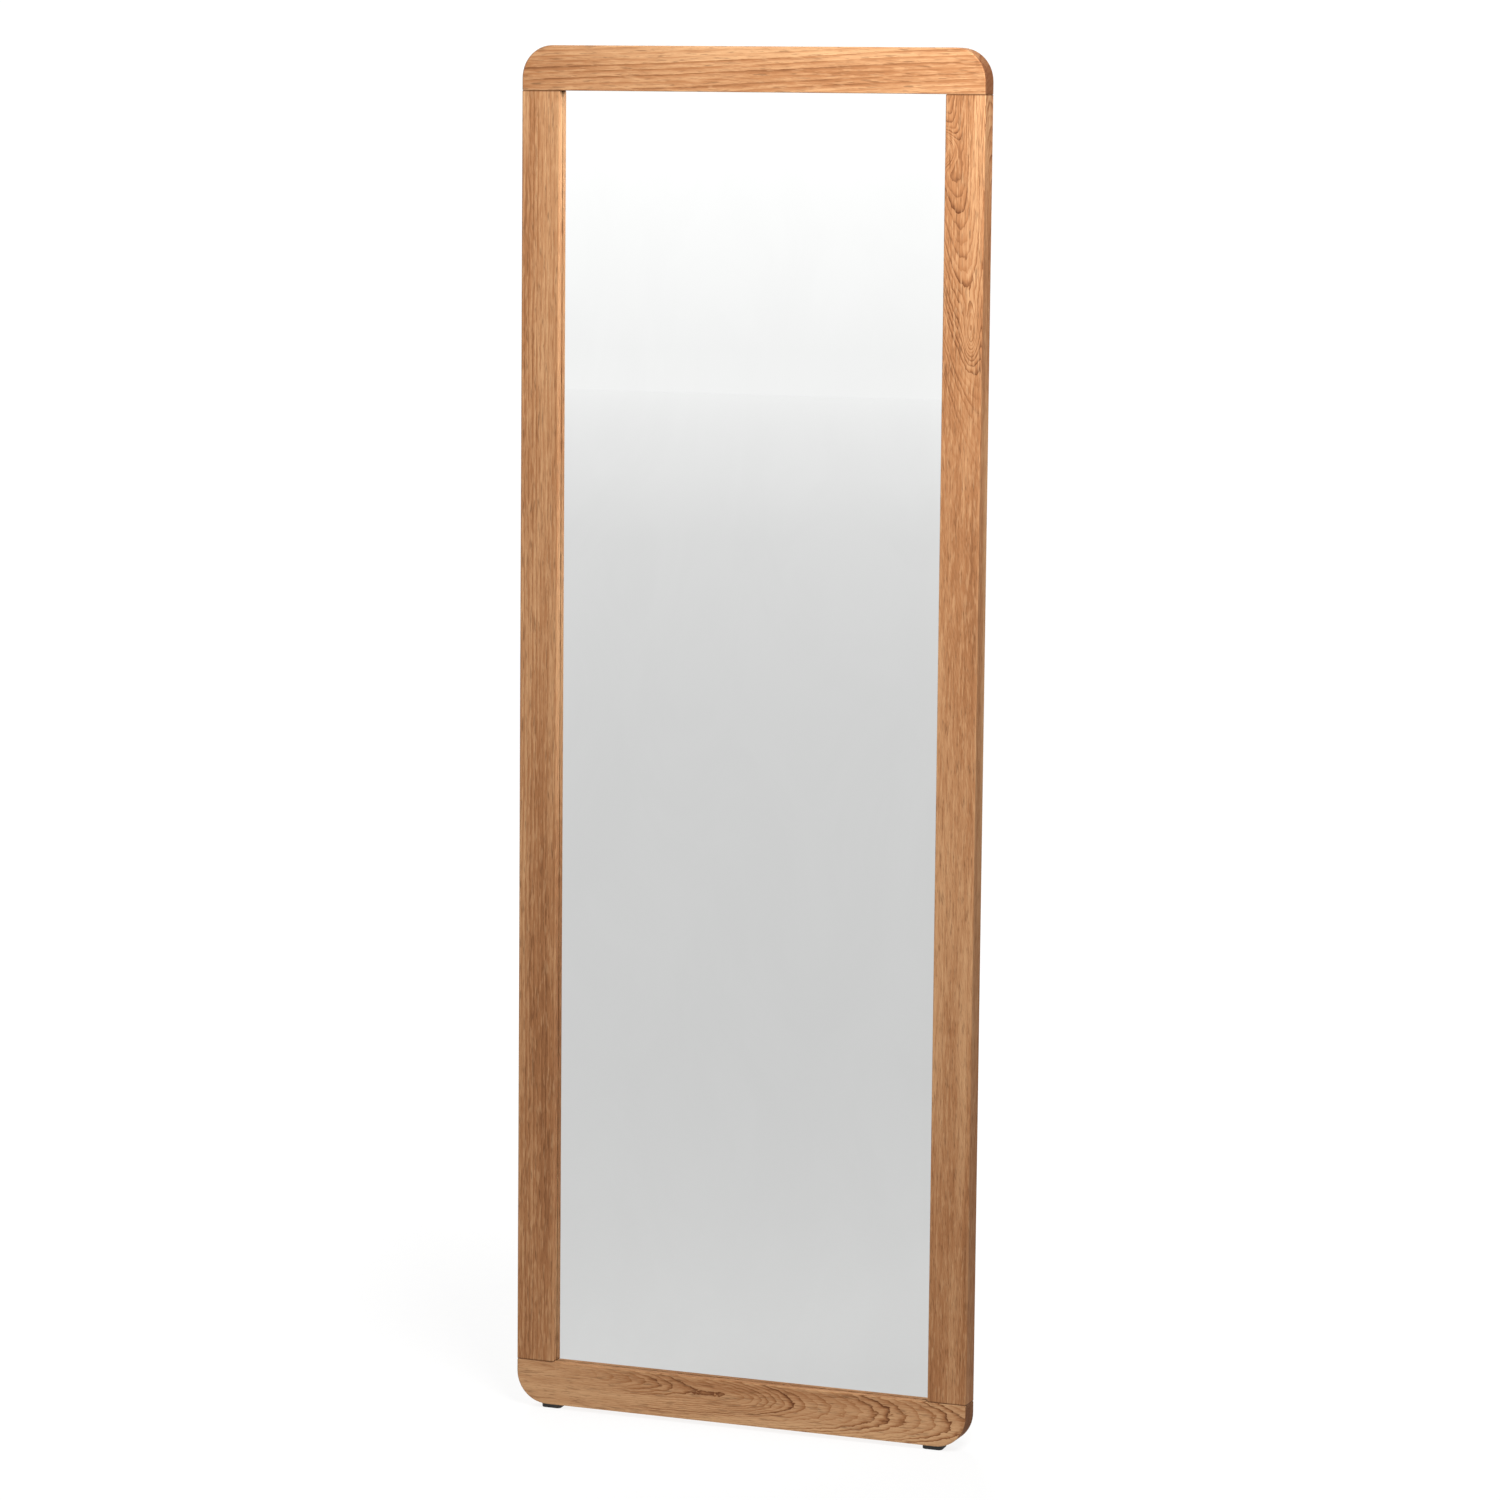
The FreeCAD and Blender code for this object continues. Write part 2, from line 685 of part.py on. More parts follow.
def screw(body, length, radius, head, head_height=None):
    """A wood screw along Z, its head's face at the origin and its point up.

    With no head height, the head is countersunk. Otherwise it is a low cylinder below z = 0."""
    profile = new_sketch(body, "XZ_Plane")
    if head_height:
        draw_outline(profile, [
            ("0", f"-{head_height}"), (head, f"-{head_height}"), (head, "0"), (radius, "0"),
            (radius, f"{length} - point_length * {radius}"), ("0", length)])
    else:
        draw_outline(profile, [
            ("0", "0"), (head, "0"), (radius, f"{head} - {radius}"),
            (radius, f"{length} - point_length * {radius}"), ("0", length)])
    revolve(body, profile, "V_Axis")
    arm = f"({head} * recess_reach)"
    blade = f"({head} * recess_blade)"
    cross = [
        (arm, blade), (blade, blade), (blade, arm), (f"-{blade}", arm), (f"-{blade}", blade),
        (f"-{arm}", blade), (f"-{arm}", f"-{blade}"), (f"-{blade}", f"-{blade}"),
        (f"-{blade}", f"-{arm}"), (blade, f"-{arm}"), (blade, f"-{blade}"), (arm, f"-{blade}")]
    recess = new_sketch(body, "XY_Plane", f"-{head_height}" if head_height else None)
    draw_outline(recess, cross)
    pocket(body, recess, f"{head} * recess_depth", reverse=True)


def hinge_rail_screws():
    """Four countersunk screws that fix the hinge rail to the stiles."""
    body = new_body("hinge_rail_screws", MIRROR, across="-stile_back_middle",
                    back="hinge_rail_back", up="hinge_rail_up - hinge_screw_up", turn=90)
    screw(body, "rail_screw_length", "rail_screw_radius", "rail_screw_head")
    repeat(body, "X_Axis", "2 * stile_back_middle")
    repeat(body, "Y_Axis", "2 * hinge_screw_up")


def bracket_screws():
    """Four countersunk screws in each hinge bracket."""
    body = new_body("bracket_screws", MIRROR, across="-post_spread - bracket_screw_spread",
                    back="hinge_rail_back + plate_thickness",
                    up="pivot_up - bracket_screw_low", turn=90)
    screw(body, "bracket_screw_length", "bracket_screw_radius", "bracket_screw_head")
    repeat(body, "X_Axis", "2 * bracket_screw_spread")
    repeat(body, "X_Axis", "2 * post_spread")
    repeat(body, "Y_Axis", "bracket_screw_top + bracket_screw_low")


def foot_screws(label, slope, back, up, across):
    """A screw up through each of a pair of feet."""
    body = new_body(label, slope, across=f"-{across}", back=back, up=f"{up} - foot_screw_seat")
    screw(body, "foot_screw_length", "foot_screw_radius", "foot_screw_head",
          "foot_screw_head_height")
    repeat(body, "X_Axis", f"2 * {across}")


# ---------------------------------------------------------------- the hinge

def hinge_rail():
    """The board across the backs of the stiles. Its frame is at its middle, on its front face."""
    body = new_body("hinge_rail", MIRROR, back="frame_depth", up="hinge_rail_up")
    front = new_sketch(body, "XZ_Plane")
    draw_rectangle(front, "-hinge_rail_half", "hinge_rail_half",
                   "-hinge_rail_face / 2", "hinge_rail_face / 2")
    pad(body, front, "hinge_rail_depth", reverse=True)
    depth = value("hinge_rail_depth")
    ease(body, "Fillet", "hinge_rail_ease", lambda box: flat_in(box.YMin, box.YMax, depth))

    corners = new_sketch(body, "XZ_Plane", "-hinge_rail_depth")
    for side in (-1, 1):
        for rise in ("-hinge_screw_up", "hinge_screw_up"):
            draw_circle(corners, f"{side} * stile_back_middle", rise, "rail_screw_radius")
    countersink(body, corners, "rail_screw_radius", "rail_screw_head", reverse=True)

    pilots = new_sketch(body, "XZ_Plane", "-hinge_rail_depth")
    for side in (-1, 1):
        for across, rise in bracket_screw_places():
            draw_circle(pilots, f"{side} * post_spread + {across}",
                        f"pivot_up - hinge_rail_up + {rise}", "bracket_screw_radius + screw_fit")
    pocket(body, pilots, "bracket_screw_length - plate_thickness + dowel_end_gap", reverse=True)


def bracket_screw_places():
    """The four screws of one bracket, from its pivot."""
    return [(f"{side} * bracket_screw_spread", rise)
            for side in (-1, 1) for rise in ("bracket_screw_top", "-bracket_screw_low")]


def hinge_bracket(label, side):
    """A steel U with two cheeks that stand back from a plate. Its frame is on the plate's front."""
    body = new_body(label, MIRROR, across=f"{side} * post_spread", back="hinge_rail_back",
                    up="pivot_up")
    cheeks = new_sketch(body, "YZ_Plane")
    draw_outline(cheeks, [("0", "-cheek_half"), ("plate_to_pivot", "-cheek_nose"),
                          ("plate_to_pivot", "cheek_nose"), ("0", "cheek_half")])
    pad(body, cheeks, "2 * bracket_outer", both_ways=True)
    nose = new_sketch(body, "YZ_Plane")
    draw_circle(nose, "plate_to_pivot", "0", "cheek_nose")
    pad(body, nose, "2 * bracket_outer", both_ways=True)
    slot = new_sketch(body, "XZ_Plane", "-plate_thickness")
    draw_rectangle(slot, "-bracket_inner", "bracket_inner", "-2 * cheek_half", "2 * cheek_half")
    pocket(body, slot)

    outer = value("bracket_outer")

    def bend(box):
        return runs_along_z(box) and near(abs(box.XMax), outer) and near(box.YMax, 0)
    ease(body, "Fillet", "bend_radius", bend)

    plate = new_sketch(body, "XZ_Plane")
    draw_rectangle(plate, "-plate_half", "plate_half", "-plate_below", "plate_above")
    pad(body, plate, "plate_thickness", reverse=True)
    edge = value("plate_half")

    def plate_corner(box):
        return runs_along_y(box) and near(abs(box.XMax), edge) and abs(box.ZMax) > outer
    ease(body, "Fillet", "plate_corner", plate_corner)

    pivot = new_sketch(body, "YZ_Plane")
    draw_circle(pivot, "plate_to_pivot", "0", "bolt_radius + bolt_fit")
    pocket(body, pivot, "2 * (bracket_outer + overshoot)", both_ways=True)
    holes = new_sketch(body, "XZ_Plane", "-plate_thickness")
    for across, rise in bracket_screw_places():
        draw_circle(holes, across, rise, "bracket_screw_radius")
    countersink(body, holes, "bracket_screw_radius", "bracket_screw_head", reverse=True)


def on_pivot(label, side=0):
    """A body whose frame is on the pivot axis, at a leg post or in the middle."""
    return new_body(label, MIRROR, across=f"{side} * post_spread", back="pivot_back", up="pivot_up")


def pivot_bolt(label, side):
    """A hexagon-head bolt through both cheeks, its head on the outside."""
    body = on_pivot(label, side)
    head = new_sketch(body, "YZ_Plane", f"{side} * bracket_outer")
    draw_hexagon(head, "hex_radius")
    pad(body, head, "head_height", reverse=side < 0)
    crown = value(f"{side} * (bracket_outer + head_height)")
    ease(body, "Chamfer", "hex_ease", lambda box: flat_in(box.XMin, box.XMax, crown))
    shank = new_sketch(body, "YZ_Plane", f"{side} * bracket_outer")
    draw_circle(shank, "0", "0", "bolt_radius")
    pad(body, shank, "bolt_length", reverse=side > 0)
    tip = value(f"{side} * (bracket_outer - bolt_length)")
    ease(body, "Chamfer", "hex_ease", lambda box: flat_in(box.XMin, box.XMax, tip))


def pivot_nut(label, side):
    """The bolt's nut, on the inside of the inner cheek."""
    body = on_pivot(label, side)
    section = new_sketch(body, "YZ_Plane", f"-{side} * bracket_outer")
    draw_hexagon(section, "hex_radius")
    pad(body, section, "nut_height", reverse=side > 0)
    face = value(f"-{side} * (bracket_outer + nut_height)")
    ease(body, "Chamfer", "hex_ease", lambda box: flat_in(box.XMin, box.XMax, face))
    bore = new_sketch(body, "YZ_Plane", f"-{side} * bracket_outer")
    draw_circle(bore, "0", "0", "bolt_radius + running_fit")
    pocket(body, bore, reverse=side < 0)


def pivot_washers():
    """A plain washer between each cheek and the leg post beside it."""
    body = on_pivot("pivot_washers")
    ring = new_sketch(body, "YZ_Plane", "post_spread - bracket_inner")
    draw_circle(ring, "0", "0", "washer_radius")
    draw_circle(ring, "0", "0", "bolt_radius + running_fit")
    pad(body, ring, "washer_thickness")
    repeat(body, "X_Axis", "2 * bracket_inner - washer_thickness")
    mirror_across(body)


# ---------------------------------------------------------------- the leg

def leg_post(label, side):
    """A post of the leg, from its foot up past the pivot to the facet that stops it.

    Its frame is on the pivot axis. When the leg is open, the facet is flat against the plate."""
    body = new_body(label, LEG, across=f"{side} * post_spread")
    half = "post_depth / 2"
    profile = new_sketch(body, "YZ_Plane")
    draw_outline(profile, [
        (f"-{half}", "-leg_length"), (half, "-leg_length"), (half, "post_rise"),
        ("facet_end", "post_rise"), (f"-{half}", "facet_start")])
    pad(body, profile, "post_width", both_ways=True)
    back = value(half)
    top = value("post_rise")
    foot = value("-leg_length")
    ease(body, "Fillet", "post_round",
         lambda box: runs_along_x(box) and near(box.YMax, back) and near(box.ZMax, top))

    def long_arris(box):
        return runs_along_z(box) and near(abs(box.YMax), back) and near(box.ZMin, foot)
    ease(body, "Fillet", "post_ease", long_arris)

    bore = new_sketch(body, "YZ_Plane")
    draw_circle(bore, "0", "0", "bush_radius + bush_fit")
    pocket(body, bore, "post_width + 2 * overshoot", both_ways=True)

    joints = new_sketch(body, "YZ_Plane", f"-{side} * post_width / 2")
    for drop in ("upper_rail_drop", "lower_rail_drop"):
        for rise in (-1, 1):
            draw_circle(joints, "0", f"-{drop} + {rise} * leg_dowel_spread / 2",
                        "leg_dowel_radius + dowel_fit")
    pocket(body, joints, "leg_dowel_hole", reverse=side > 0)

    pilot = new_sketch(body, "XY_Plane", "-leg_length")
    draw_circle(pilot, "0", "0", "foot_screw_radius + screw_fit")
    pocket(body, pilot, "foot_screw_length - foot_screw_seat + dowel_end_gap", reverse=True)


def leg_rail(label, drop):
    """A rung between the posts. Its frame is at its middle."""
    body = new_body(label, LEG, up=f"-{drop}")
    front = new_sketch(body, "XZ_Plane")
    draw_rectangle(front, "-leg_rail_half", "leg_rail_half",
                   "-leg_rail_face / 2", "leg_rail_face / 2")
    pad(body, front, "leg_rail_depth", both_ways=True)
    ease(body, "Fillet", "post_ease", runs_along_x)
    for side in (-1, 1):
        joints = new_sketch(body, "YZ_Plane", f"{side} * leg_rail_half")
        for rise in (-1, 1):
            draw_circle(joints, "0", f"{rise} * leg_dowel_spread / 2",
                        "leg_dowel_radius + dowel_fit")
        pocket(body, joints, "leg_dowel_hole", reverse=side < 0)


def leg_dowels():
    """Two dowels at each end of both rungs."""
    body = new_body("leg_dowels", LEG, up="-lower_rail_drop")
    section = new_sketch(body, "YZ_Plane", "leg_rail_half - leg_dowel_length / 2")
    draw_circle(section, "0", "-leg_dowel_spread / 2", "leg_dowel_radius")
    pad(body, section, "leg_dowel_length")
    ease(body, "Chamfer", "seam_ease", lambda box: box.XLength < TOUCH)
    repeat(body, "Z_Axis", "leg_dowel_spread")
    repeat(body, "Z_Axis", "lower_rail_drop - upper_rail_drop")
    mirror_across(body)


def pivot_bushes():
    """A sleeve in each post that turns on the pivot bolt."""
    body = new_body("pivot_bushes", LEG)
    ring = new_sketch(body, "YZ_Plane", "post_spread - post_width / 2")
    draw_circle(ring, "0", "0", "bush_radius")
    draw_circle(ring, "0", "0", "bolt_radius + running_fit")
    pad(body, ring, "post_width")
    mirror_across(body)


# ---------------------------------------------------------------- feet and bumpers

def foot(label, slope, across, back, up, half_width, half_depth, height):
    """A rubber foot under a sloping piece, trimmed level with the floor.

    Its frame is at the middle of its top. height is how far that point is above the floor."""
    body = new_body(label, slope, across=across, back=back, up=up)
    top = new_sketch(body, "XY_Plane")
    draw_rectangle(top, f"-{half_width}", half_width, f"-{half_depth}", half_depth)
    pad(body, top, f"2 * {height} + {half_depth}", reverse=True)
    ease(body, "Fillet", "foot_corner", runs_along_z)

    def floor_at(place):
        return f"(({place}) * ({slope.sine}) - {height}) / {slope.cosine}"
    front, rear = f"-{half_depth} - overshoot", f"{half_depth} + overshoot"
    below = f"-3 * {height} - 2 * {half_depth}"
    floor = new_sketch(body, "YZ_Plane")
    draw_outline(floor, [(front, floor_at(front)), (rear, floor_at(rear)),
                         (rear, below), (front, below)])
    pocket(body, floor, f"2 * ({half_width} + overshoot)", both_ways=True)

    hole = new_sketch(body, "XY_Plane")
    draw_circle(hole, "0", "0", "foot_screw_radius + screw_fit")
    pocket(body, hole)
    recess = new_sketch(body, "XY_Plane", "-foot_screw_seat")
    draw_circle(recess, "0", "0", "foot_screw_recess")
    pocket(body, recess)


def fold_bumper(label, side):
    """A rubber bumper on the bottom rail's back, where the folded leg comes to rest."""
    body = new_body(label, MIRROR, across=f"{side} * post_spread", back="frame_depth",
                    up="bumper_up")
    base = new_sketch(body, "XZ_Plane")
    draw_circle(base, "0", "0", "bumper_radius")
    pad(body, base, "bumper_height", reverse=True)
    crown = value("bumper_height")
    ease(body, "Fillet", "bumper_ease", lambda box: flat_in(box.YMin, box.YMax, crown))


# ---------------------------------------------------------------- the whole mirror

def build():
    """Make every piece, from the frame to the feet."""
    frame_rail("top_rail", 1, "frame_height - rail_face")
    add_foot_screw_holes(frame_rail("bottom_rail", -1, "rail_face"))
    frame_stile("left_stile", -1)
    frame_stile("right_stile", 1)
    frame_dowels()

    glazing_tape()
    mirror_glass()
    setting_blocks()
    backing_board()
    side_bead("bead_left", -1)
    side_bead("bead_right", 1)
    rail_bead("bead_top", 1, "rebate_high")
    rail_bead("bead_bottom", -1, "rebate_low")
    bead_pins()

    hinge_rail()
    hinge_rail_screws()
    for side, name in ((-1, "left"), (1, "right")):
        hinge_bracket("hinge_bracket_" + name, side)
        pivot_bolt("pivot_bolt_" + name, side)
        pivot_nut("pivot_nut_" + name, side)
        leg_post("leg_post_" + name, side)
        fold_bumper("fold_bumper_" + name, side)
        foot("front_foot_" + name, MIRROR, f"{side} * front_foot_across", "frame_depth / 2", "0",
             "front_foot_half_width", "front_foot_half_depth", "front_foot_centre")
        foot("rear_foot_" + name, LEG, f"{side} * post_spread", "0", "-leg_length",
             "rear_foot_half_width", "rear_foot_half_depth", "rear_foot_height")
    bracket_screws()
    pivot_washers()
    pivot_bushes()
    leg_rail("leg_upper_rail", "upper_rail_drop")
    leg_rail("leg_lower_rail", "lower_rail_drop")
    leg_dowels()
    foot_screws("front_foot_screws", MIRROR, "frame_depth / 2", "0", "front_foot_across")
    foot_screws("rear_foot_screws", LEG, "0", "-leg_length", "post_spread")


def check_and_export():
    """Stop on any failed object or broken shape, then write one file for each piece."""
    doc.recompute()
    for item in doc.Objects:
        if "Invalid" in item.State or "Error" in item.State:
            raise RuntimeError(f"{item.Label} failed: {item.State}")
    for body in pieces:
        if body.Shape.isNull() or not body.Shape.isValid():
            raise RuntimeError(f"{body.Label} has no valid shape")
    os.makedirs(OUTPUT_FOLDER, exist_ok=True)
    for body in pieces:
        body.Shape.exportStep(os.path.join(OUTPUT_FOLDER, body.Label + ".step"))


build()
check_and_export()
print(f"{len(pieces)} pieces")
for name in ("mirror_y", "mirror_z", "pivot_y", "pivot_z", "leg_length", "base_depth",
             "facet_start", "facet_end", "fold_angle"):
    print(f"{name} = {value(name):.4f}")
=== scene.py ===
"""The looks of a full-length floor mirror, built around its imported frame.

The mirror is a framed glass that stands on its bottom rail, leans back a little and is held up by a
ladder-shaped leg behind it. Each sub-assembly is a class that dresses its fixed pieces and models
the ones that need finer work. Everything is in metres, with +Y behind the glass and +Z up.
"""

import logging
import math
from collections.abc import Callable, Iterable, Iterator
from contextlib import contextmanager
from dataclasses import dataclass, field, replace
from enum import Enum

import bpy
from mathutils import Matrix, Vector


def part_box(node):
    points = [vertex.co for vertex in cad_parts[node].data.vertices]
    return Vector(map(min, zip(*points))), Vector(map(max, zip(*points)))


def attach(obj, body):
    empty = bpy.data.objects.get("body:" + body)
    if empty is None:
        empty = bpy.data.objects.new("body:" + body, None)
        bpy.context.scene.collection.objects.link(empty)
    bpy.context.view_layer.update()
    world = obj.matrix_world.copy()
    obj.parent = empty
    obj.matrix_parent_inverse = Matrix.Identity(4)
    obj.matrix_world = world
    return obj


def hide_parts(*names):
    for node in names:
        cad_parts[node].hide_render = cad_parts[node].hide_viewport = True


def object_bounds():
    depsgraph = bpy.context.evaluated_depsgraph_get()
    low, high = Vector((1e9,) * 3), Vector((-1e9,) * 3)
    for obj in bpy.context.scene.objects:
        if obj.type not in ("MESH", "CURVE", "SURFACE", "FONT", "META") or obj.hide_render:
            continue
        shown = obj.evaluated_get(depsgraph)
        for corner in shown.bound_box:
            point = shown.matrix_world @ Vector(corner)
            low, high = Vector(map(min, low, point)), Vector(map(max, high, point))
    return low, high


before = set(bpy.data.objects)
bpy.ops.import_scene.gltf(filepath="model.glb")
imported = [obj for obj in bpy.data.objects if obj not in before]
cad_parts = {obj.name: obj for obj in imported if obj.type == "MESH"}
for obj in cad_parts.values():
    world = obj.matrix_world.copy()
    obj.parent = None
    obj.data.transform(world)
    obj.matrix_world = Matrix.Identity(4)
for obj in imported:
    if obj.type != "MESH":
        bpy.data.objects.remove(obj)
cad_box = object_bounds()

log = logging.getLogger("floor_mirror")
MM = 0.001
GRAZE = 0.01 * MM  # how far a cutting tool stands proud
WELD = 0.002 * MM  # corners closer than this are one after a cut
SHARP = math.radians(32)  # edges sharper than this stay crisp

Colour = tuple[float, float, float]
Piece = bpy.types.Object
Material = bpy.types.Material
Socket = bpy.types.NodeSocket
Input = Socket | float | Iterable[float]
Inputs = dict[str | int, Input]  # a socket to link or a constant for each input, by its name or number
Test = Callable[[bpy.types.MeshPolygon | bpy.types.MeshEdge], bool]  # whether a face or an edge is chosen
Coat = tuple[str, Material]  # a finish's slot in the record, and its material
Stops = tuple[tuple[float, float], ...]  # places in a run of greys, and their levels


def srgb(red: int, green: int, blue: int) -> Colour:
    """A screen colour, each part from 0 to 255, as linear light.

    Args:
        red, green, blue: The colour's parts.

    Returns:
        The same colour as shaders need it.
    """
    def linear(part: int) -> float:
        """One part of the colour as linear light."""
        share = part / 255
        return share / 12.92 if share <= 0.04045 else ((share + 0.055) / 1.055) ** 2.4
    return linear(red), linear(green), linear(blue)


def grey(level: float) -> Colour:
    """A neutral colour of one level of linear light."""
    return level, level, level


def greys(stops: Stops) -> list[tuple[float, Colour]]:
    """A run of greys as a run of colours."""
    return [(place, grey(level)) for place, level in stops]


def dimmed(colour: Colour, share: float) -> Colour:
    """A share of a colour's light."""
    return tuple(part * share for part in colour)


# ---------------------------------------------------------------- where pieces lie

@dataclass(frozen=True)
class Seat:
    """Where a piece lies, in a frame that leans with it: across, through and up the piece."""

    lean: float
    middle: Vector
    half: Vector

    @classmethod
    def of(cls, *nodes: str) -> "Seat":
        """Measure fixed pieces that share a slope.

        Args:
            nodes: The pieces' names.

        Returns:
            The seat of all of them together.
        """
        lean = slope_of(nodes[0])
        turn = Matrix.Rotation(lean, 3, "X")
        points = [turn @ v.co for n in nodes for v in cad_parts[n].data.vertices]
        low = Vector(min(p[i] for p in points) for i in range(3))
        high = Vector(max(p[i] for p in points) for i in range(3))
        return cls(lean, (low + high) / 2, (high - low) / 2)

    @property
    def rise(self) -> Vector:
        """The way up along the piece."""
        return Vector((0, math.sin(self.lean), math.cos(self.lean)))

    @property
    def through(self) -> Vector:
        """The way straight back through the piece."""
        return Vector((0, math.cos(self.lean), -math.sin(self.lean)))


def slope_of(node: str) -> float:
    """How far a piece leans back, from the normal of its largest upright face.

    Args:
        node: The piece's name.

    Returns:
        The lean in radians, positive where the top is further back.
    """
    upright = [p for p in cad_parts[node].data.polygons
               if abs(p.normal.x) < 0.1 and abs(p.normal.z) < 0.5]
    widest = max(upright, key=lambda p: p.area)
    return math.atan2(-widest.normal.z * math.copysign(1, widest.normal.y), abs(widest.normal.y))


class Along(Enum):
    """Which way the grain or the brushing of a piece runs."""

    ACROSS = "across"
    UP = "up"


# ---------------------------------------------------------------- shader building

class Nodes:
    """A node tree, with a short way to make each step that the finishes need."""

    def __init__(self, tree: bpy.types.NodeTree, surface: str, output: str) -> None:
        """Empty the tree and give it one surface and its output.

        Args:
            tree: The tree.
            surface: The surface node's kind.
            output: The output node's kind.
        """
        self.tree = tree
        tree.nodes.clear()
        self.surface = self.node(surface)
        self.node(output, {"Surface": self.surface.outputs[0]})

    def node(self, kind: str, inputs: Inputs | None = None, **settings: str | bool) -> bpy.types.Node:
        """Make a node.

        Args:
            kind: Its kind, without the ShaderNode that starts each kind's name.
            inputs: What its inputs are.
            settings: Its own settings by name.

        Returns:
            The node.
        """
        node = self.tree.nodes.new("ShaderNode" + kind)
        for name, setting in settings.items():
            setattr(node, name, setting)
        self.put(node, inputs or {})
        return node

    def put(self, node: bpy.types.Node, inputs: Inputs) -> None:
        """Link or set some of a node's inputs.

        Args:
            node: The node.
            inputs: What they are.
        """
        for key, value in inputs.items():
            if isinstance(value, Socket):
                self.tree.links.new(value, node.inputs[key])
            else:
                node.inputs[key].default_value = value

    def calc(self, operation: str, *values: Input, clamp: bool = False) -> Socket:
        """One step of arithmetic.

        Args:
            operation: The step's name, such as ADD.
            values: What it works on.
            clamp: Whether the result stays from 0 to 1.

        Returns:
            The result's socket.
        """
        inputs = dict(enumerate(values))
        return self.node("Math", inputs, operation=operation, use_clamp=clamp).outputs[0]

    def times(self, value: Input, gain: Input, offset: Input = 0.0) -> Socket:
        """A number times a gain, plus an offset."""
        return self.calc("MULTIPLY_ADD", value, gain, offset)

    def swing(self, value: Socket) -> Socket:
        """How far noise is above its middle."""
        return self.calc("SUBTRACT", value, 0.5)

    def vector(self, operation: str, *values: Input) -> Socket:
        """One step of vector arithmetic.

        Args:
            operation: The step's name, such as LENGTH.
            values: What it works on.

        Returns:
            The socket of the result, which is a number for a length or a dot product.
        """
        node = self.node("VectorMath", dict(enumerate(values)), operation=operation)
        return node.outputs["Value" if operation in ("LENGTH", "DOT_PRODUCT") else "Vector"]

    def combine(self, *parts: Input) -> Socket:
        """A vector from three numbers."""
        return self.node("CombineXYZ", dict(enumerate(parts))).outputs[0]

    def split(self, vector: Socket) -> tuple[Socket, ...]:
        """The three numbers of a vector."""
        return tuple(self.node("SeparateXYZ", {0: vector}).outputs)

    def smooth(self, value: Socket, start: float, end: float, low: float = 0.0, high: float = 1.0,
               kind: str = "SMOOTHSTEP") -> Socket:
        """A low number before start, a high one after end, and a smooth rise between them.

        Args:
            value: The number that is tested.
            start: Where the rise starts.
            end: Where it ends.
            low: The number before it.
            high: The number after it.
            kind: How it rises.

        Returns:
            The number's socket.
        """
        inputs = {"Value": value, "From Min": start, "From Max": end, "To Min": low, "To Max": high}
        return self.node("MapRange", inputs, interpolation_type=kind).outputs["Result"]

    def mix(self, share: Socket, first: Socket | Colour, second: Socket | Colour) -> Socket:
        """A mix of two colours.

        Args:
            share: How much of the second.
            first: The first colour.
            second: The second colour.

        Returns:
            The mixed colour's socket.
        """
        ends = [one if isinstance(one, Socket) else (*one, 1.0) for one in (first, second)]
        inputs = {"Factor": share, "A": ends[0], "B": ends[1]}
        return self.node("Mix", inputs, data_type="RGBA").outputs["Result"]

    def grade(self, share: Socket, *stops: tuple[float, Colour]) -> Socket:
        """A run of colours.

        Args:
            share: Where in the run, from 0 to 1.
            stops: Places and their colours, in order.

        Returns:
            The colour's socket.
        """
        node = self.node("ValToRGB", {"Fac": share})
        ramp = node.color_ramp
        for number, (place, colour) in enumerate(stops):
            stop = ramp.elements[number] if number < 2 else ramp.elements.new(place)
            stop.position = place
            stop.color = (*colour, 1.0)
        return node.outputs["Color"]

    def noise(self, place: Socket, across: float, along: float, seed: float,
              detail: float = 3.0, roughness: float = 0.55, distortion: float = 0.0) -> Socket:
        """Noise that may be drawn out along the grain.

        Args:
            place: A vector whose Y runs along the grain.
            across: Waves a metre across the grain.
            along: Waves a metre along it.
            seed: Which part of the endless pattern is used.
            detail: How many finer layers are added.
            roughness: How strong they are.
            distortion: How far the pattern is folded.

        Returns:
            A number's socket, mostly from 0.3 to 0.7.
        """
        moved = self.vector("MULTIPLY_ADD", place, (across, along, across), (seed,) * 3)
        return self.node("TexNoise", {"Vector": moved, "Scale": 1.0, "Detail": detail,
                                      "Roughness": roughness, "Distortion": distortion}).outputs["Fac"]

    def cells(self, place: Socket, size: float) -> Socket:
        """The distance to the nearest of many scattered points.

        Args:
            place: Where, in metres.
            size: The points' spacing.

        Returns:
            The distance's socket, in spacings.
        """
        scaled = self.vector("MULTIPLY", place, (1 / size,) * 3)
        return self.node("TexVoronoi", {"Vector": scaled, "Scale": 1.0}).outputs["Distance"]

    def own(self, output: str = "Object") -> Socket:
        """The piece's own coordinates, or another of the coordinate node's outputs."""
        return self.node("TexCoord").outputs[output]


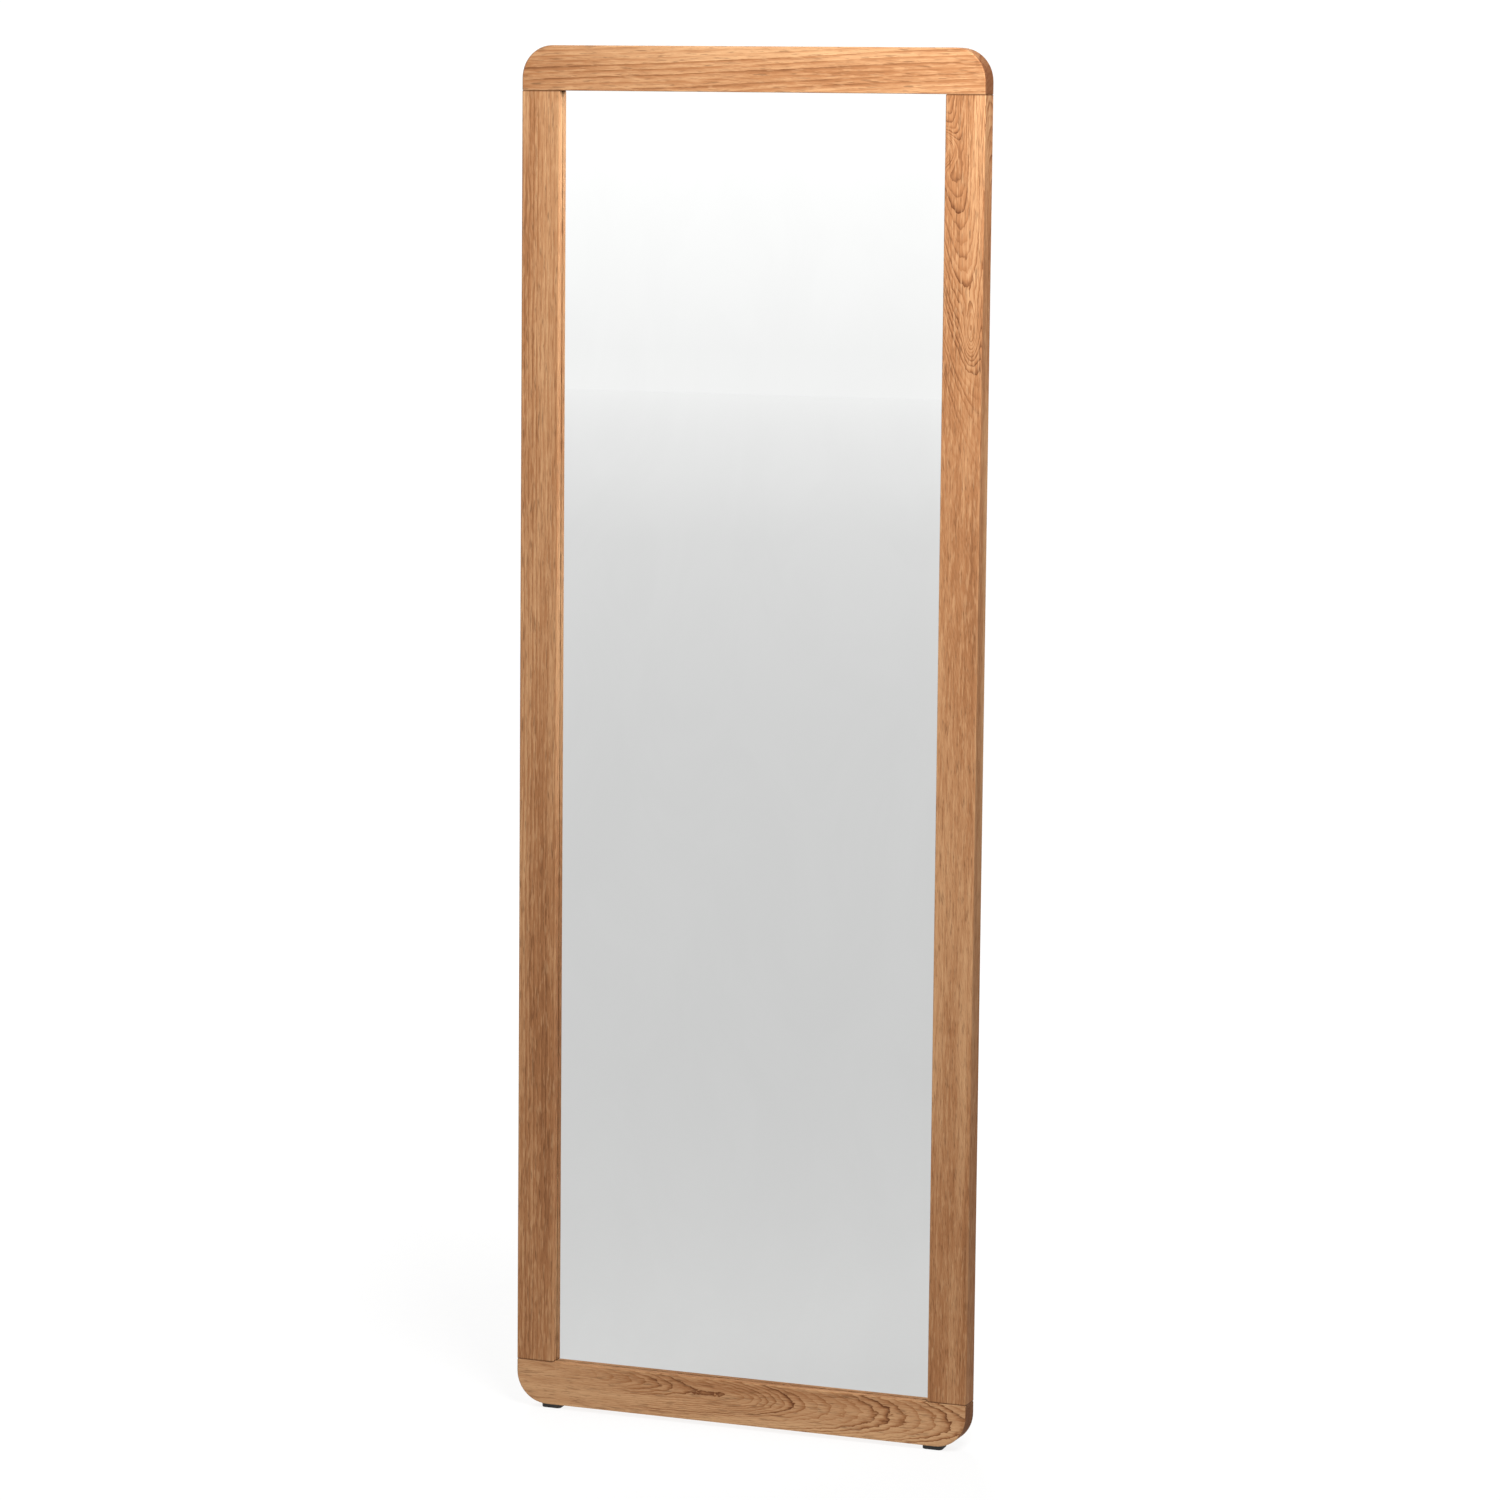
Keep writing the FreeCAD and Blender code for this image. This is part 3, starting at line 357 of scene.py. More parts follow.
class Shader(Nodes):
    """A material, and the node tree that it is built from."""

    def __init__(self, name: str) -> None:
        """Start a material with one surface.

        Args:
            name: The material's name.
        """
        self.material = bpy.data.materials.new(name)
        self.material.use_nodes = True
        super().__init__(self.material.node_tree, "BsdfPrincipled", "OutputMaterial")

    def finish(self, relief: Socket | None = None, depth: float = 0.0, strength: float = 1.0,
               **inputs: Input) -> Material:
        """Set the surface's inputs, named with underscores for spaces.

        Args:
            relief: The surface's relief, from 0 to 1, where it has one.
            depth: What a relief of 1 is, in metres.
            strength: How much of the relief shows.
            inputs: The other inputs by name.

        Returns:
            The material.
        """
        if relief is not None:
            bump = self.node("Bump", {"Strength": strength, "Distance": depth, "Height": relief})
            inputs["Normal"] = bump.outputs["Normal"]
        self.put(self.surface, {name.replace("_", " "): value for name, value in inputs.items()})
        return self.material

    def seated(self, seat: Seat) -> tuple[Socket, ...]:
        """Coordinates that lean with the piece and start at its middle.

        Args:
            seat: Where the piece lies.

        Returns:
            The sockets of across, through and up, in metres.
        """
        turned = self.node("Mapping", {"Location": -seat.middle, "Rotation": (seat.lean, 0, 0),
                                       "Vector": self.own()})
        return self.split(turned.outputs["Vector"])

    def facing(self, direction: Vector) -> Socket:
        """How squarely the surface faces a direction, from -1 to 1."""
        return self.vector("DOT_PRODUCT", self.own("Normal"), direction)


# ---------------------------------------------------------------- wood

@dataclass(frozen=True)
class Knot:
    """A swirl that the rings flow round, in metres from the board's middle."""

    across: float
    along: float
    width: float
    length: float
    lift: float


@dataclass(frozen=True)
class Figure:
    """How the rings of the log lie in one board.

    The heart is where the log's middle is, from the board's middle, and tilt is how far it moves
    for each metre along the board. A heart behind the face with some tilt makes arches, and a heart
    far to one side makes straight lines."""

    heart_across: float
    heart_behind: float
    tilt_across: float = 0.0
    tilt_behind: float = 0.0
    spacing: float = 3.2 * MM
    wander: float = 3.0 * MM
    jag: float = 0.5 * MM
    strength: float = 0.6
    start: float = -2.0
    end: float = 2.0
    knots: tuple[Knot, ...] = ()


class Board(Shader):
    """A wooden piece's material, which knows where the piece lies and which way its grain runs."""

    def __init__(self, name: str, seat: Seat, along: Along, seed: float) -> None:
        """Start the material with the piece's own coordinates.

        Args:
            name: The material's name.
            seat: Where the piece lies.
            along: Which way its grain runs.
            seed: Which part of each pattern is used.
        """
        super().__init__(name)
        self.seed = seed
        self.upright = along is Along.UP
        across, self.through, up = self.seated(seat)
        self.wide, self.long = (across, up) if self.upright else (up, across)
        self.place = self.combine(self.wide, self.long, self.through)
        half = seat.half
        self.half_wide, self.half_long = (half.x, half.z) if self.upright else (half.z, half.x)
        self.half_deep = half.y
        self.grain = seat.rise if self.upright else Vector((1, 0, 0))

    def drawn(self, across: float, along: float, seed: float, detail: float = 3.0,
              roughness: float = 0.55) -> Socket:
        """Noise drawn out along the piece's own grain; the numbers are those of noise."""
        return self.noise(self.place, across, along, self.seed + seed, detail, roughness)

    def rings(self, figure: Figure) -> tuple[Socket, Socket]:
        """The rings of the log where the piece cuts them.

        Args:
            figure: How the rings lie.

        Returns:
            How deep the tone of the ring is, and how far through its year it is, from 0 to 1.
        """
        sway, bow, ripple = (self.swing(self.drawn(*numbers)) for numbers in (
            (14, 2.4, 1, 1), (16, 3.1, 5, 1), (170, 80, 9, 2)))
        offsets = []
        for part, tilt, heart, drift in ((self.wide, figure.tilt_across, figure.heart_across, sway),
                                         (self.through, figure.tilt_behind, figure.heart_behind, bow)):
            offset = self.calc("SUBTRACT", part, self.times(self.long, tilt, heart))
            offsets.append(self.times(drift, 4 * figure.wander, offset))
        radius = self.times(ripple, 4 * figure.jag, self.vector("LENGTH", self.combine(*offsets, 0.0)))
        for knot in figure.knots:
            spot = self.vector("SUBTRACT", self.place, (knot.across, knot.along, 0.0))
            away = self.vector("LENGTH", self.vector("DIVIDE", spot, (knot.width, knot.length, 1.0)))
            rise = self.calc("EXPONENT", self.times(self.calc("POWER", away, 2.0), -1.0))
            radius = self.times(rise, knot.lift, radius)
        years = self.calc("DIVIDE", radius, figure.spacing)
        lot = {"W": self.calc("ADD", self.calc("FLOOR", years), self.seed)}
        white = self.node("TexWhiteNoise", lot, noise_dimensions="1D")
        vigour = self.times(white.outputs["Value"], 0.75, 0.25)
        wave = self.calc("FRACT", years)
        line = self.times(self.calc("POWER", wave, 2.6), self.smooth(wave, 1.0, 0.9))
        shown = self.times(self.smooth(self.long, figure.start, figure.start + 0.12),
                           self.smooth(self.long, figure.end, figure.end - 0.12))
        return self.times(self.times(line, vigour), self.times(shown, 0.8, 0.2)), wave

    def pores(self, wave: Socket) -> Socket:
        """Short open pores along the grain, most of them early in each year.

        Args:
            wave: How far through its year each place is.

        Returns:
            1 in a pore and 0 elsewhere.
        """
        fine = self.smooth(self.drawn(1500, 110, 41, 1), 0.6, 0.72)
        coarse = self.smooth(self.drawn(520, 44, 53, 2), 0.53, 0.68)
        early = self.times(self.smooth(wave, 0.75, 0.1), 0.6, 0.4)
        return self.times(self.calc("MAXIMUM", self.times(fine, 0.7), coarse), early)

    def arrises(self, width: float) -> Socket:
        """Where handling has worn the long arrises.

        Args:
            width: How far in from an arris the wear starts.

        Returns:
            1 on a worn arris and 0 elsewhere.
        """
        side, face = (self.smooth(self.calc("ABSOLUTE", part), half - width, half - 0.5 * MM)
                      for part, half in ((self.wide, self.half_wide), (self.through, self.half_deep)))
        return self.times(self.times(side, face), self.smooth(self.drawn(60, 12, 83), 0.35, 0.65))

    def seams(self) -> Socket:
        """1 where the piece's ends meet its neighbours, and 0 elsewhere; it masks the painted shade in the
        joint lines.
        """
        left = self.calc("SUBTRACT", self.half_long, self.calc("ABSOLUTE", self.long))
        return self.smooth(left, 2.4 * MM, 0.4 * MM)


@dataclass(frozen=True)
class Timber:
    """A hardwood: its tones, its open pores and how it is finished."""

    pale: Colour
    middle: Colour
    deep: Colour
    pore: Colour
    end: Colour
    pore_strength: float = 0.5
    fleck_strength: float = 0.38
    end_strength: float = 0.72
    rub_strength: float = 0.3
    # How dark the painted shade in the joint lines is.
    seam_shade_strength: float = 0.55
    arris: float = 3.5 * MM
    relief: float = 0.12 * MM
    roughness: float = 0.62
    gloss: float = 0.06

    def material(self, name: str, seat: Seat, along: Along, figure: Figure, seed: float,
                 tone: float = 0.0) -> Material:
        """The material of one board, with its own figure.

        Args:
            name: The material's name.
            seat: Where the board lies.
            along: Which way its grain runs.
            figure: How its rings lie.
            seed: Which part of each pattern is used.
            tone: How much darker, or lighter below 0, the board is than most.

        Returns:
            The material.
        """
        board = Board(name, seat, along, seed)
        line, wave = board.rings(figure)
        streak, cloud = board.drawn(42, 1.6, 11, 4), board.drawn(9, 2.2, 23, 2)
        fibre = board.drawn(620, 22, 31, 3, 0.7)
        depth = board.times(line, figure.strength, 0.34 + tone)
        for part, weight in ((streak, 1.15), (cloud, 0.55), (fibre, 0.75)):
            depth = board.times(board.swing(part), weight, depth)
        colour = board.grade(board.calc("ADD", depth, 0.0, clamp=True),
                             (0.0, self.pale), (0.48, self.middle), (1.0, self.deep))

        pores = board.pores(wave)
        flecks = board.smooth(board.drawn(430, 46, 71, 2), 0.53, 0.68)
        end = board.smooth(board.calc("ABSOLUTE", board.facing(board.grain)), 0.35, 0.95)
        layers = [(pores, self.pore_strength, self.pore), (flecks, self.fleck_strength, self.pale),
                  (end, self.end_strength, self.end),
                  (board.arrises(self.arris), self.rub_strength, self.pale)]
        # The stiles' ends are darkened where they meet the rails: painted shade in the joint lines.
        if board.upright:
            layers.append((board.seams(), self.seam_shade_strength, self.pore))
        for share, strength, tint in layers:
            colour = board.mix(board.times(share, strength), colour, tint)

        rough = board.times(fibre, 0.16, self.roughness - 0.08)
        for part, weight in ((pores, 0.2), (end, 0.15)):
            rough = board.times(part, weight, rough)
        height = board.times(line, -0.25, board.times(pores, -0.8, board.times(fibre, 0.5)))
        return board.finish(height, self.relief, 0.7, Base_Color=colour, Roughness=rough,
                            Specular_IOR_Level=self.gloss)


HARDWOOD = Timber(
    pale=srgb(190, 148, 108), middle=srgb(152, 104, 68), deep=srgb(96, 57, 34),
    pore=srgb(66, 38, 23), end=srgb(88, 49, 31))
BEAD_STOCK = Timber(
    pale=srgb(214, 172, 126), middle=srgb(190, 143, 98), deep=srgb(150, 104, 66),
    pore=srgb(110, 74, 48), end=srgb(132, 90, 60), roughness=0.7)
BEECH = Timber(
    pale=srgb(228, 196, 156), middle=srgb(212, 174, 132), deep=srgb(186, 142, 100),
    pore=srgb(146, 104, 70), end=srgb(176, 134, 94), pore_strength=0.35, roughness=0.7)

STRAIGHT = Figure(heart_across=0.16, heart_behind=0.05, strength=0.42)


def dress(node: str, material: Material) -> None:
    """Give a fixed piece its finish.

    Args:
        node: The piece's name.
        material: The finish.
    """
    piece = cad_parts[node]
    if not piece.material_slots:
        piece.data.materials.append(material)
    for slot in piece.material_slots:
        slot.material = material
    log.info("%s is dressed in %s", node, material.name)


def dress_wood(node: str, timber: Timber, along: Along, figure: Figure, seed: float,
               tone: float = 0.0, slope: str = "") -> None:
    """Give a fixed wooden piece its finish.

    Args:
        node: The piece's name.
        timber: What it is made of.
        along: Which way its grain runs.
        figure: How its rings lie.
        seed: Which part of each pattern is used.
        tone: How much darker, or lighter below 0, the piece is than most.
        slope: The piece that it leans with, where its own faces are too small to tell.
    """
    seat = Seat.of(node)
    if slope:
        seat = replace(seat, lean=slope_of(slope))
    dress(node, timber.material("wood_" + node, seat, along, figure, seed, tone))


# ---------------------------------------------------------------- other finishes

@dataclass(frozen=True)
class Silvering:
    """A silvered glass: bright from the front, sea green at its edges, painted grey behind."""

    silver: Colour = (0.86, 0.865, 0.86)
    edge: Colour = srgb(96, 138, 122)
    paint: Colour = srgb(92, 98, 102)

    def material(self, seat: Seat) -> Material:
        """The mirror's material.

        Args:
            seat: Where the glass lies.

        Returns:
            The material.
        """
        shader = Shader("silvered_glass")
        across, through, up = shader.seated(seat)
        place = shader.combine(across, up, through)
        toward = shader.facing(-seat.through)
        bright = shader.smooth(toward, 0.9, 0.99)
        behind = shader.smooth(toward, -0.9, -0.99)
        wipe = shader.noise(place, 7, 4, 3, detail=4, distortion=1.5)
        silver = shader.mix(shader.smooth(wipe, 0.3, 0.7), self.silver, dimmed(self.silver, 0.985))
        brushed = shader.noise(place, 30, 260, 8, detail=3)
        paint = shader.mix(brushed, self.paint, dimmed(self.paint, 0.8))
        colour = shader.mix(behind, shader.mix(bright, self.edge, silver), paint)
        rough = shader.times(bright, -0.18, 0.18)
        rough = shader.times(behind, 0.35, rough)
        haze = shader.times(shader.smooth(wipe, 0.62, 0.85), 0.006)
        return shader.finish(Base_Color=colour, Metallic=bright,
                             Roughness=shader.calc("ADD", rough, haze))


@dataclass(frozen=True)
class Fibreboard:
    """Brown pressed board: felted fibres, with the print of the press's screen on its back."""

    pale: Colour = srgb(146, 104, 70)
    deep: Colour = srgb(92, 60, 38)
    screen: float = 1.6 * MM

    def material(self, seat: Seat) -> Material:
        """The board's material.

        Args:
            seat: Where the board lies.

        Returns:
            The material.
        """
        shader = Shader("pressed_fibreboard")
        across, through, up = shader.seated(seat)
        place = shader.combine(across, up, through)
        felt = shader.noise(place, 260, 240, 4, detail=5, roughness=0.75, distortion=1.2)
        cloud = shader.noise(place, 7, 6, 9, detail=5, roughness=0.65)
        turn = 2 * math.pi / self.screen
        threads = (shader.calc("SINE", shader.times(way, turn)) for way in (across, up))
        weave = shader.calc("MULTIPLY", *threads)
        depth = shader.times(cloud, 0.4, 0.3)
        depth = shader.times(shader.swing(felt), 1.5, depth)
        depth = shader.times(weave, 0.09, depth)
        colour = shader.grade(depth, (0.2, self.pale), (0.85, self.deep))
        height = shader.times(weave, 0.5, felt)
        rough = shader.times(felt, 0.3, 0.5)
        return shader.finish(height, 0.15 * MM, 0.6, Base_Color=colour, Roughness=rough)


class Metal(Enum):
    """The metals of the fittings, each with its colour and its roughness."""

    FOLDED_STEEL = ("folded_steel", srgb(176, 177, 178), 0.38)
    ZINC_PLATE = ("zinc_plate", srgb(203, 201, 192), 0.28)
    DRAWN_WIRE = ("drawn_wire", srgb(186, 186, 184), 0.3)
    TURNED_BRASS = ("turned_brass", srgb(214, 178, 104), 0.26)

    def material(self) -> Material:
        """The metal's material, with its plating's spangle, fine scratches and dulled patches.

        Returns:
            The material.
        """
        name, colour, roughness = self.value
        shader = Shader(name)
        place = shader.own()
        cloud = shader.noise(place, 90, 90, 2, detail=4)
        spangle = shader.cells(place, 2.2 * MM)
        scratch = shader.noise(place, 1400, 300, 7, detail=2, distortion=0.4)
        dull = shader.smooth(cloud, 0.4, 0.75)
        tint = shader.mix(shader.times(dull, 0.55), colour, dimmed(colour, 0.62))
        tint = shader.mix(shader.times(spangle, 0.12), tint, grey(1.0))
        rough = shader.times(dull, 0.18, roughness)
        rough = shader.times(scratch, 0.16, rough)
        height = shader.times(spangle, 0.3, scratch)
        return shader.finish(height, 0.03 * MM, 0.5, Base_Color=tint, Metallic=1.0, Roughness=rough)


@dataclass(frozen=True)
class Moulding:
    """A moulded or foamed plastic or rubber."""

    name: str
    colour: Colour
    worn: Colour
    grain: float
    depth: float
    roughness: float
    softness: float = 0.0

    def material(self) -> Material:
        """The moulding's material, with the mould's grain, dust and rubbed spots.

        Returns:
            The material.
        """
        shader = Shader(self.name)
        place = shader.own()
        pits = shader.cells(place, self.grain)
        cloud = shader.noise(place, 70, 70, 5, detail=5, roughness=0.65)
        dust = shader.times(shader.smooth(cloud, 0.45, 0.75), 0.5)
        colour = shader.mix(dust, self.colour, self.worn)
        colour = shader.mix(shader.times(pits, 0.2), colour, self.worn)
        rough = shader.times(cloud, 0.25, self.roughness - 0.12)
        return shader.finish(pits, self.depth, 0.6, Base_Color=colour, Roughness=rough,
                             Sheen_Weight=self.softness)


RUBBER = Moulding("black_rubber", srgb(30, 29, 28), srgb(74, 71, 68), 0.7 * MM, 0.08 * MM, 0.72)
FOAM = Moulding("foam_tape", srgb(214, 211, 204), srgb(186, 182, 174), 0.35 * MM, 0.12 * MM, 0.9, 0.2)
NYLON = Moulding("natural_nylon", srgb(232, 229, 216), srgb(205, 200, 184), 1.1 * MM, 0.02 * MM, 0.42)


# ---------------------------------------------------------------- bench work

@dataclass(frozen=True)
class Axis:
    """Where a turned piece lies: its tip, the way from there to its head, and a corner of its head."""

    tip: Vector
    way: Vector
    corner: Vector
    length: float

    @classmethod
    def of(cls, points: list[Vector], way: Vector) -> "Axis":
        """Find a piece's axis.

        Args:
            points: The points of the piece.
            way: The rough way from its tip to its head.

        Returns:
            The axis, with the head's widest point as its corner.
        """
        low, high = min(p.dot(way) for p in points), max(p.dot(way) for p in points)
        crown = [p for p in points if p.dot(way) > high - 0.01 * MM]
        middle = Vector((min(p[i] for p in crown) + max(p[i] for p in crown)) / 2 for i in range(3))
        out = [p - middle - way * (p - middle).dot(way) for p in points]
        return cls(middle - way * (high - low), way, max(out, key=lambda v: v.length), high - low)

    def matrix(self) -> Matrix:
        """From a template that stands on its tip, its widest corner along X, to the piece's place.

        Returns:
            The move.
        """
        side = self.corner.normalized()
        third = self.way.cross(side)
        return Matrix.Translation(self.tip) @ Matrix((side, third, self.way)).transposed().to_4x4()


def islands(node: str) -> list[list[Vector]]:
    """Split a fixed group into its separate solids.

    Args:
        node: The group's name.

    Returns:
        The points of each solid.
    """
    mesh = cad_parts[node].data
    keys = [tuple(round(c * 1e6) for c in v.co) for v in mesh.vertices]
    parent: dict[tuple[int, ...], tuple[int, ...]] = {k: k for k in keys}

    def top(key: tuple[int, ...]) -> tuple[int, ...]:
        """Find the point that stands for a point's solid.

        Args:
            key: The point.

        Returns:
            The point that stands for it.
        """
        while parent[key] != key:
            parent[key] = parent[parent[key]]
            key = parent[key]
        return key

    for face in mesh.polygons:
        first, *rest = (top(keys[v]) for v in face.vertices)
        for other in rest:
            parent[top(other)] = top(first)
    solids: dict[tuple[int, ...], list[Vector]] = {}
    for key, vertex in zip(keys, mesh.vertices):
        solids.setdefault(top(key), []).append(vertex.co.copy())
    return list(solids.values())


def hold(*pieces: Piece) -> None:
    """Select pieces alone, the first of them as the active one.

    Args:
        pieces: The pieces; with none, nothing is selected.
    """
    bpy.ops.object.select_all(action="DESELECT")
    for piece in pieces:
        piece.select_set(True)
    if pieces:
        bpy.context.view_layer.objects.active = pieces[0]


def settled() -> Piece:
    """Put the newest piece's place and size into its mesh.

    Returns:
        The piece.
    """
    piece = bpy.context.object
    bpy.context.view_layer.update()
    piece.data.transform(piece.matrix_basis)
    piece.matrix_basis = Matrix.Identity(4)
    return piece


def rod(radius: float, low: float, high: float, sides: int = 40) -> Piece:
    """A rod or prism that stands on the Z axis.

    Args:
        radius: To its corners.
        low: Where it starts.
        high: Where it ends.
        sides: How many sides it has.

    Returns:
        The rod, with a corner on the X axis.
    """
    hold()
    bpy.ops.mesh.primitive_cylinder_add(vertices=sides, radius=radius, depth=high - low,
                                        location=(0, 0, (low + high) / 2))
    piece = settled()
    piece.data.transform(Matrix.Rotation(math.pi / 2, 4, "Z"))
    return piece


def cone(low_radius: float, high_radius: float, low: float, high: float,
         sides: int = 40) -> Piece:
    """A cone that stands on the Z axis.

    Args:
        low_radius: At its low end.
        high_radius: At its high end.
        low: Where it starts.
        high: Where it ends.
        sides: How many sides it has.

    Returns:
        The cone.
    """
    hold()
    bpy.ops.mesh.primitive_cone_add(vertices=sides, radius1=low_radius, radius2=high_radius,
                                    depth=high - low, location=(0, 0, (low + high) / 2))
    return settled()


def block(low: Vector, high: Vector) -> Piece:
    """A block between two corners.

    Args:
        low: The corner with the least of each coordinate.
        high: The corner across from it.

    Returns:
        The block.
    """
    hold()
    bpy.ops.mesh.primitive_cube_add(size=1.0, location=(low + high) / 2, scale=high - low)
    return settled()


def modify(piece: Piece, kind: str, **settings: str | float | Piece) -> None:
    """Add one modifier and apply it.

    Args:
        piece: The piece.
        kind: The modifier's kind.
        settings: Its settings by name.
    """
    modifier = piece.modifiers.new(kind.lower(), kind)
    for name, setting in settings.items():
        setattr(modifier, name, setting)
    hold(piece)
    bpy.ops.object.modifier_apply(modifier=modifier.name)


def carve(piece: Piece, tool: Piece, operation: str = "DIFFERENCE") -> None:
    """Cut a piece with a tool, which is used up.

    Args:
        piece: The piece.
        tool: The tool.
        operation: What the tool does to it.
    """
    modify(piece, "BOOLEAN", operation=operation, solver="EXACT", object=tool)
    bpy.data.objects.remove(tool)
    modify(piece, "WELD", merge_threshold=WELD)


@contextmanager
def editing(piece: Piece, test: Test | None = None,
            kind: str = "FACE") -> Iterator[None]:
    """Edit mode on one piece, with some of its faces or edges selected.

    Args:
        piece: The piece.
        test: Says whether a face or an edge is selected; all are where there is no test.
        kind: FACE or EDGE.

    Yields:
        Nothing; edit mode ends when the work in it does.
    """
    hold(piece)
    bpy.ops.object.mode_set(mode="EDIT")
    bpy.ops.mesh.select_mode(type=kind)
    bpy.ops.mesh.select_all(action="DESELECT" if test else "SELECT")
    if test:
        bpy.ops.object.mode_set(mode="OBJECT")
        for facet in piece.data.polygons if kind == "FACE" else piece.data.edges:
            facet.select = test(facet)
        bpy.ops.object.mode_set(mode="EDIT")
    yield
    bpy.ops.object.mode_set(mode="OBJECT")


def bevel(piece: Piece, test: Test, width: float,
          segments: int = 3) -> None:
    """Round the rim of the chosen faces.

    Args:
        piece: The piece.
        test: Says whether a face is one of them.
        width: How wide the rounding is.
        segments: How many facets it has.
    """
    with editing(piece, test):
        bpy.ops.mesh.region_to_loop()
        bpy.ops.mesh.bevel(offset=width, segments=segments, affect="EDGES")


def joined(*pieces: Piece) -> Piece:
    """Make one piece of several.

    Args:
        pieces: The pieces.

    Returns:
        The first of them, which holds the rest.
    """
    if len(pieces) > 1:
        hold(*pieces)
        bpy.ops.object.join()
    return pieces[0]


def hand_over(piece: Piece, name: str, body: str, coat: Coat, *nodes: str) -> None:
    """Name, dress and seat a finished piece.

    Args:
        piece: The piece.
        name: Its name.
        body: The body that it rides on.
        coat: Its finish.
        nodes: The fixed pieces that it stands for.
    """
    slot, material = coat
    piece.name = name
    piece.data.name = name
    piece.data.materials.clear()
    piece.data.materials.append(material)
    hold(piece)
    bpy.ops.object.shade_smooth_by_angle(angle=SHARP)
    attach(piece, body)
    if nodes:
        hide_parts(*nodes)
    log.info("%s is modelled: %d faces", name, len(piece.data.polygons))


def fit(template: Piece, places: list[Matrix], name: str, body: str, coat: Coat,
        *nodes: str) -> None:
    """Copy a template to each of its places, as one piece, and use the template up.

    Args:
        template: The template, which stands at the origin.
        places: Where the copies lie.
        name: The piece's name.
        body: The body that it rides on.
        coat: Its finish.
        nodes: The fixed pieces that it stands for.
    """
    twins = []
    for place in places:
        twin = template.copy()
        twin.data = template.data.copy()
        twin.data.transform(place)
        bpy.context.scene.collection.objects.link(twin)
        twins.append(twin)
    bpy.data.objects.remove(template)
    hand_over(joined(*twins), name, body, coat, *nodes)


def faces_up(face: bpy.types.MeshPolygon) -> bool:
    """Whether a face looks straight up."""
    return face.normal.z > 0.99


def faces_down(face: bpy.types.MeshPolygon) -> bool:
    """Whether a face looks straight down."""
    return face.normal.z < -0.99


@dataclass(frozen=True)
class Thread:
    """A helical ridge round the Z axis."""

    root: float
    crest: float
    pitch: float
    steps: int
    bite: float = 0.15 * MM
    flank: float = 0.42

    def cut(self, low: float, high: float) -> Piece:
        """Wind the ridge.

        Args:
            low: Where it starts.
            high: Where it ends.

        Returns:
            The ridge, closed at both its ends.
        """
        turns = max(1, int((high - low) / self.pitch) - 1)
        hold()
        bpy.ops.mesh.primitive_circle_add(vertices=3, radius=1.0, location=(0, 0, 0))
        ridge = bpy.context.object
        inner, half = self.root - self.bite, self.flank * self.pitch
        corners = ((self.crest, 0.0), (inner, half), (inner, -half))
        for vertex, (out, rise) in zip(ridge.data.vertices, corners):
            vertex.co = (out, 0.0, low + self.pitch / 2 + rise)
        modify(ridge, "SCREW", axis="Z", angle=2 * math.pi, screw_offset=self.pitch,
               iterations=turns, steps=self.steps, render_steps=self.steps)
        with editing(ridge):
            bpy.ops.mesh.remove_doubles(threshold=1e-6)
            bpy.ops.mesh.select_all(action="SELECT")
            bpy.ops.mesh.fill_holes(sides=4)
            bpy.ops.mesh.select_all(action="SELECT")
            bpy.ops.mesh.normals_make_consistent(inside=False)
        return ridge


@dataclass(frozen=True)
class HexBolt:
    """A hexagon-head bolt with a washer face, a chamfered head and a cut thread at its tip."""

    corner: float = 5.77 * MM
    head: float = 4.0 * MM
    face: float = 0.3 * MM
    crown: float = 0.92
    washer: float = 0.96
    chamfer: float = math.radians(30)
    radius: float = 2.98 * MM
    threaded: float = 16.0 * MM
    thread: Thread = Thread(2.55 * MM, 2.98 * MM, 1.0 * MM, 24)

    def model(self, length: float) -> Piece:
        """Make the bolt, standing on its tip.

        Args:
            length: From its tip to the top of its head.

        Returns:
            The bolt.
        """
        seat = length - self.head
        head = rod(self.corner, seat + self.face, length, 6)
        flat = self.corner * math.cos(math.pi / 6)
        depth = self.head + 1.5 * MM
        top = self.crown * flat
        dome = cone(top + depth / math.tan(self.chamfer), top, length - depth, length + GRAZE, 72)
        carve(head, dome, "INTERSECT")
        collar = rod(self.washer * flat, seat, seat + 2 * self.face, 48)
        shank = rod(self.radius, self.threaded, seat + self.face)
        core = rod(self.thread.root, 0.0, self.threaded + self.face)
        bevel(core, faces_down, 0.5 * MM, 2)
        ridge = self.thread.cut(0.2 * MM, self.threaded)
        return joined(head, collar, shank, core, ridge)


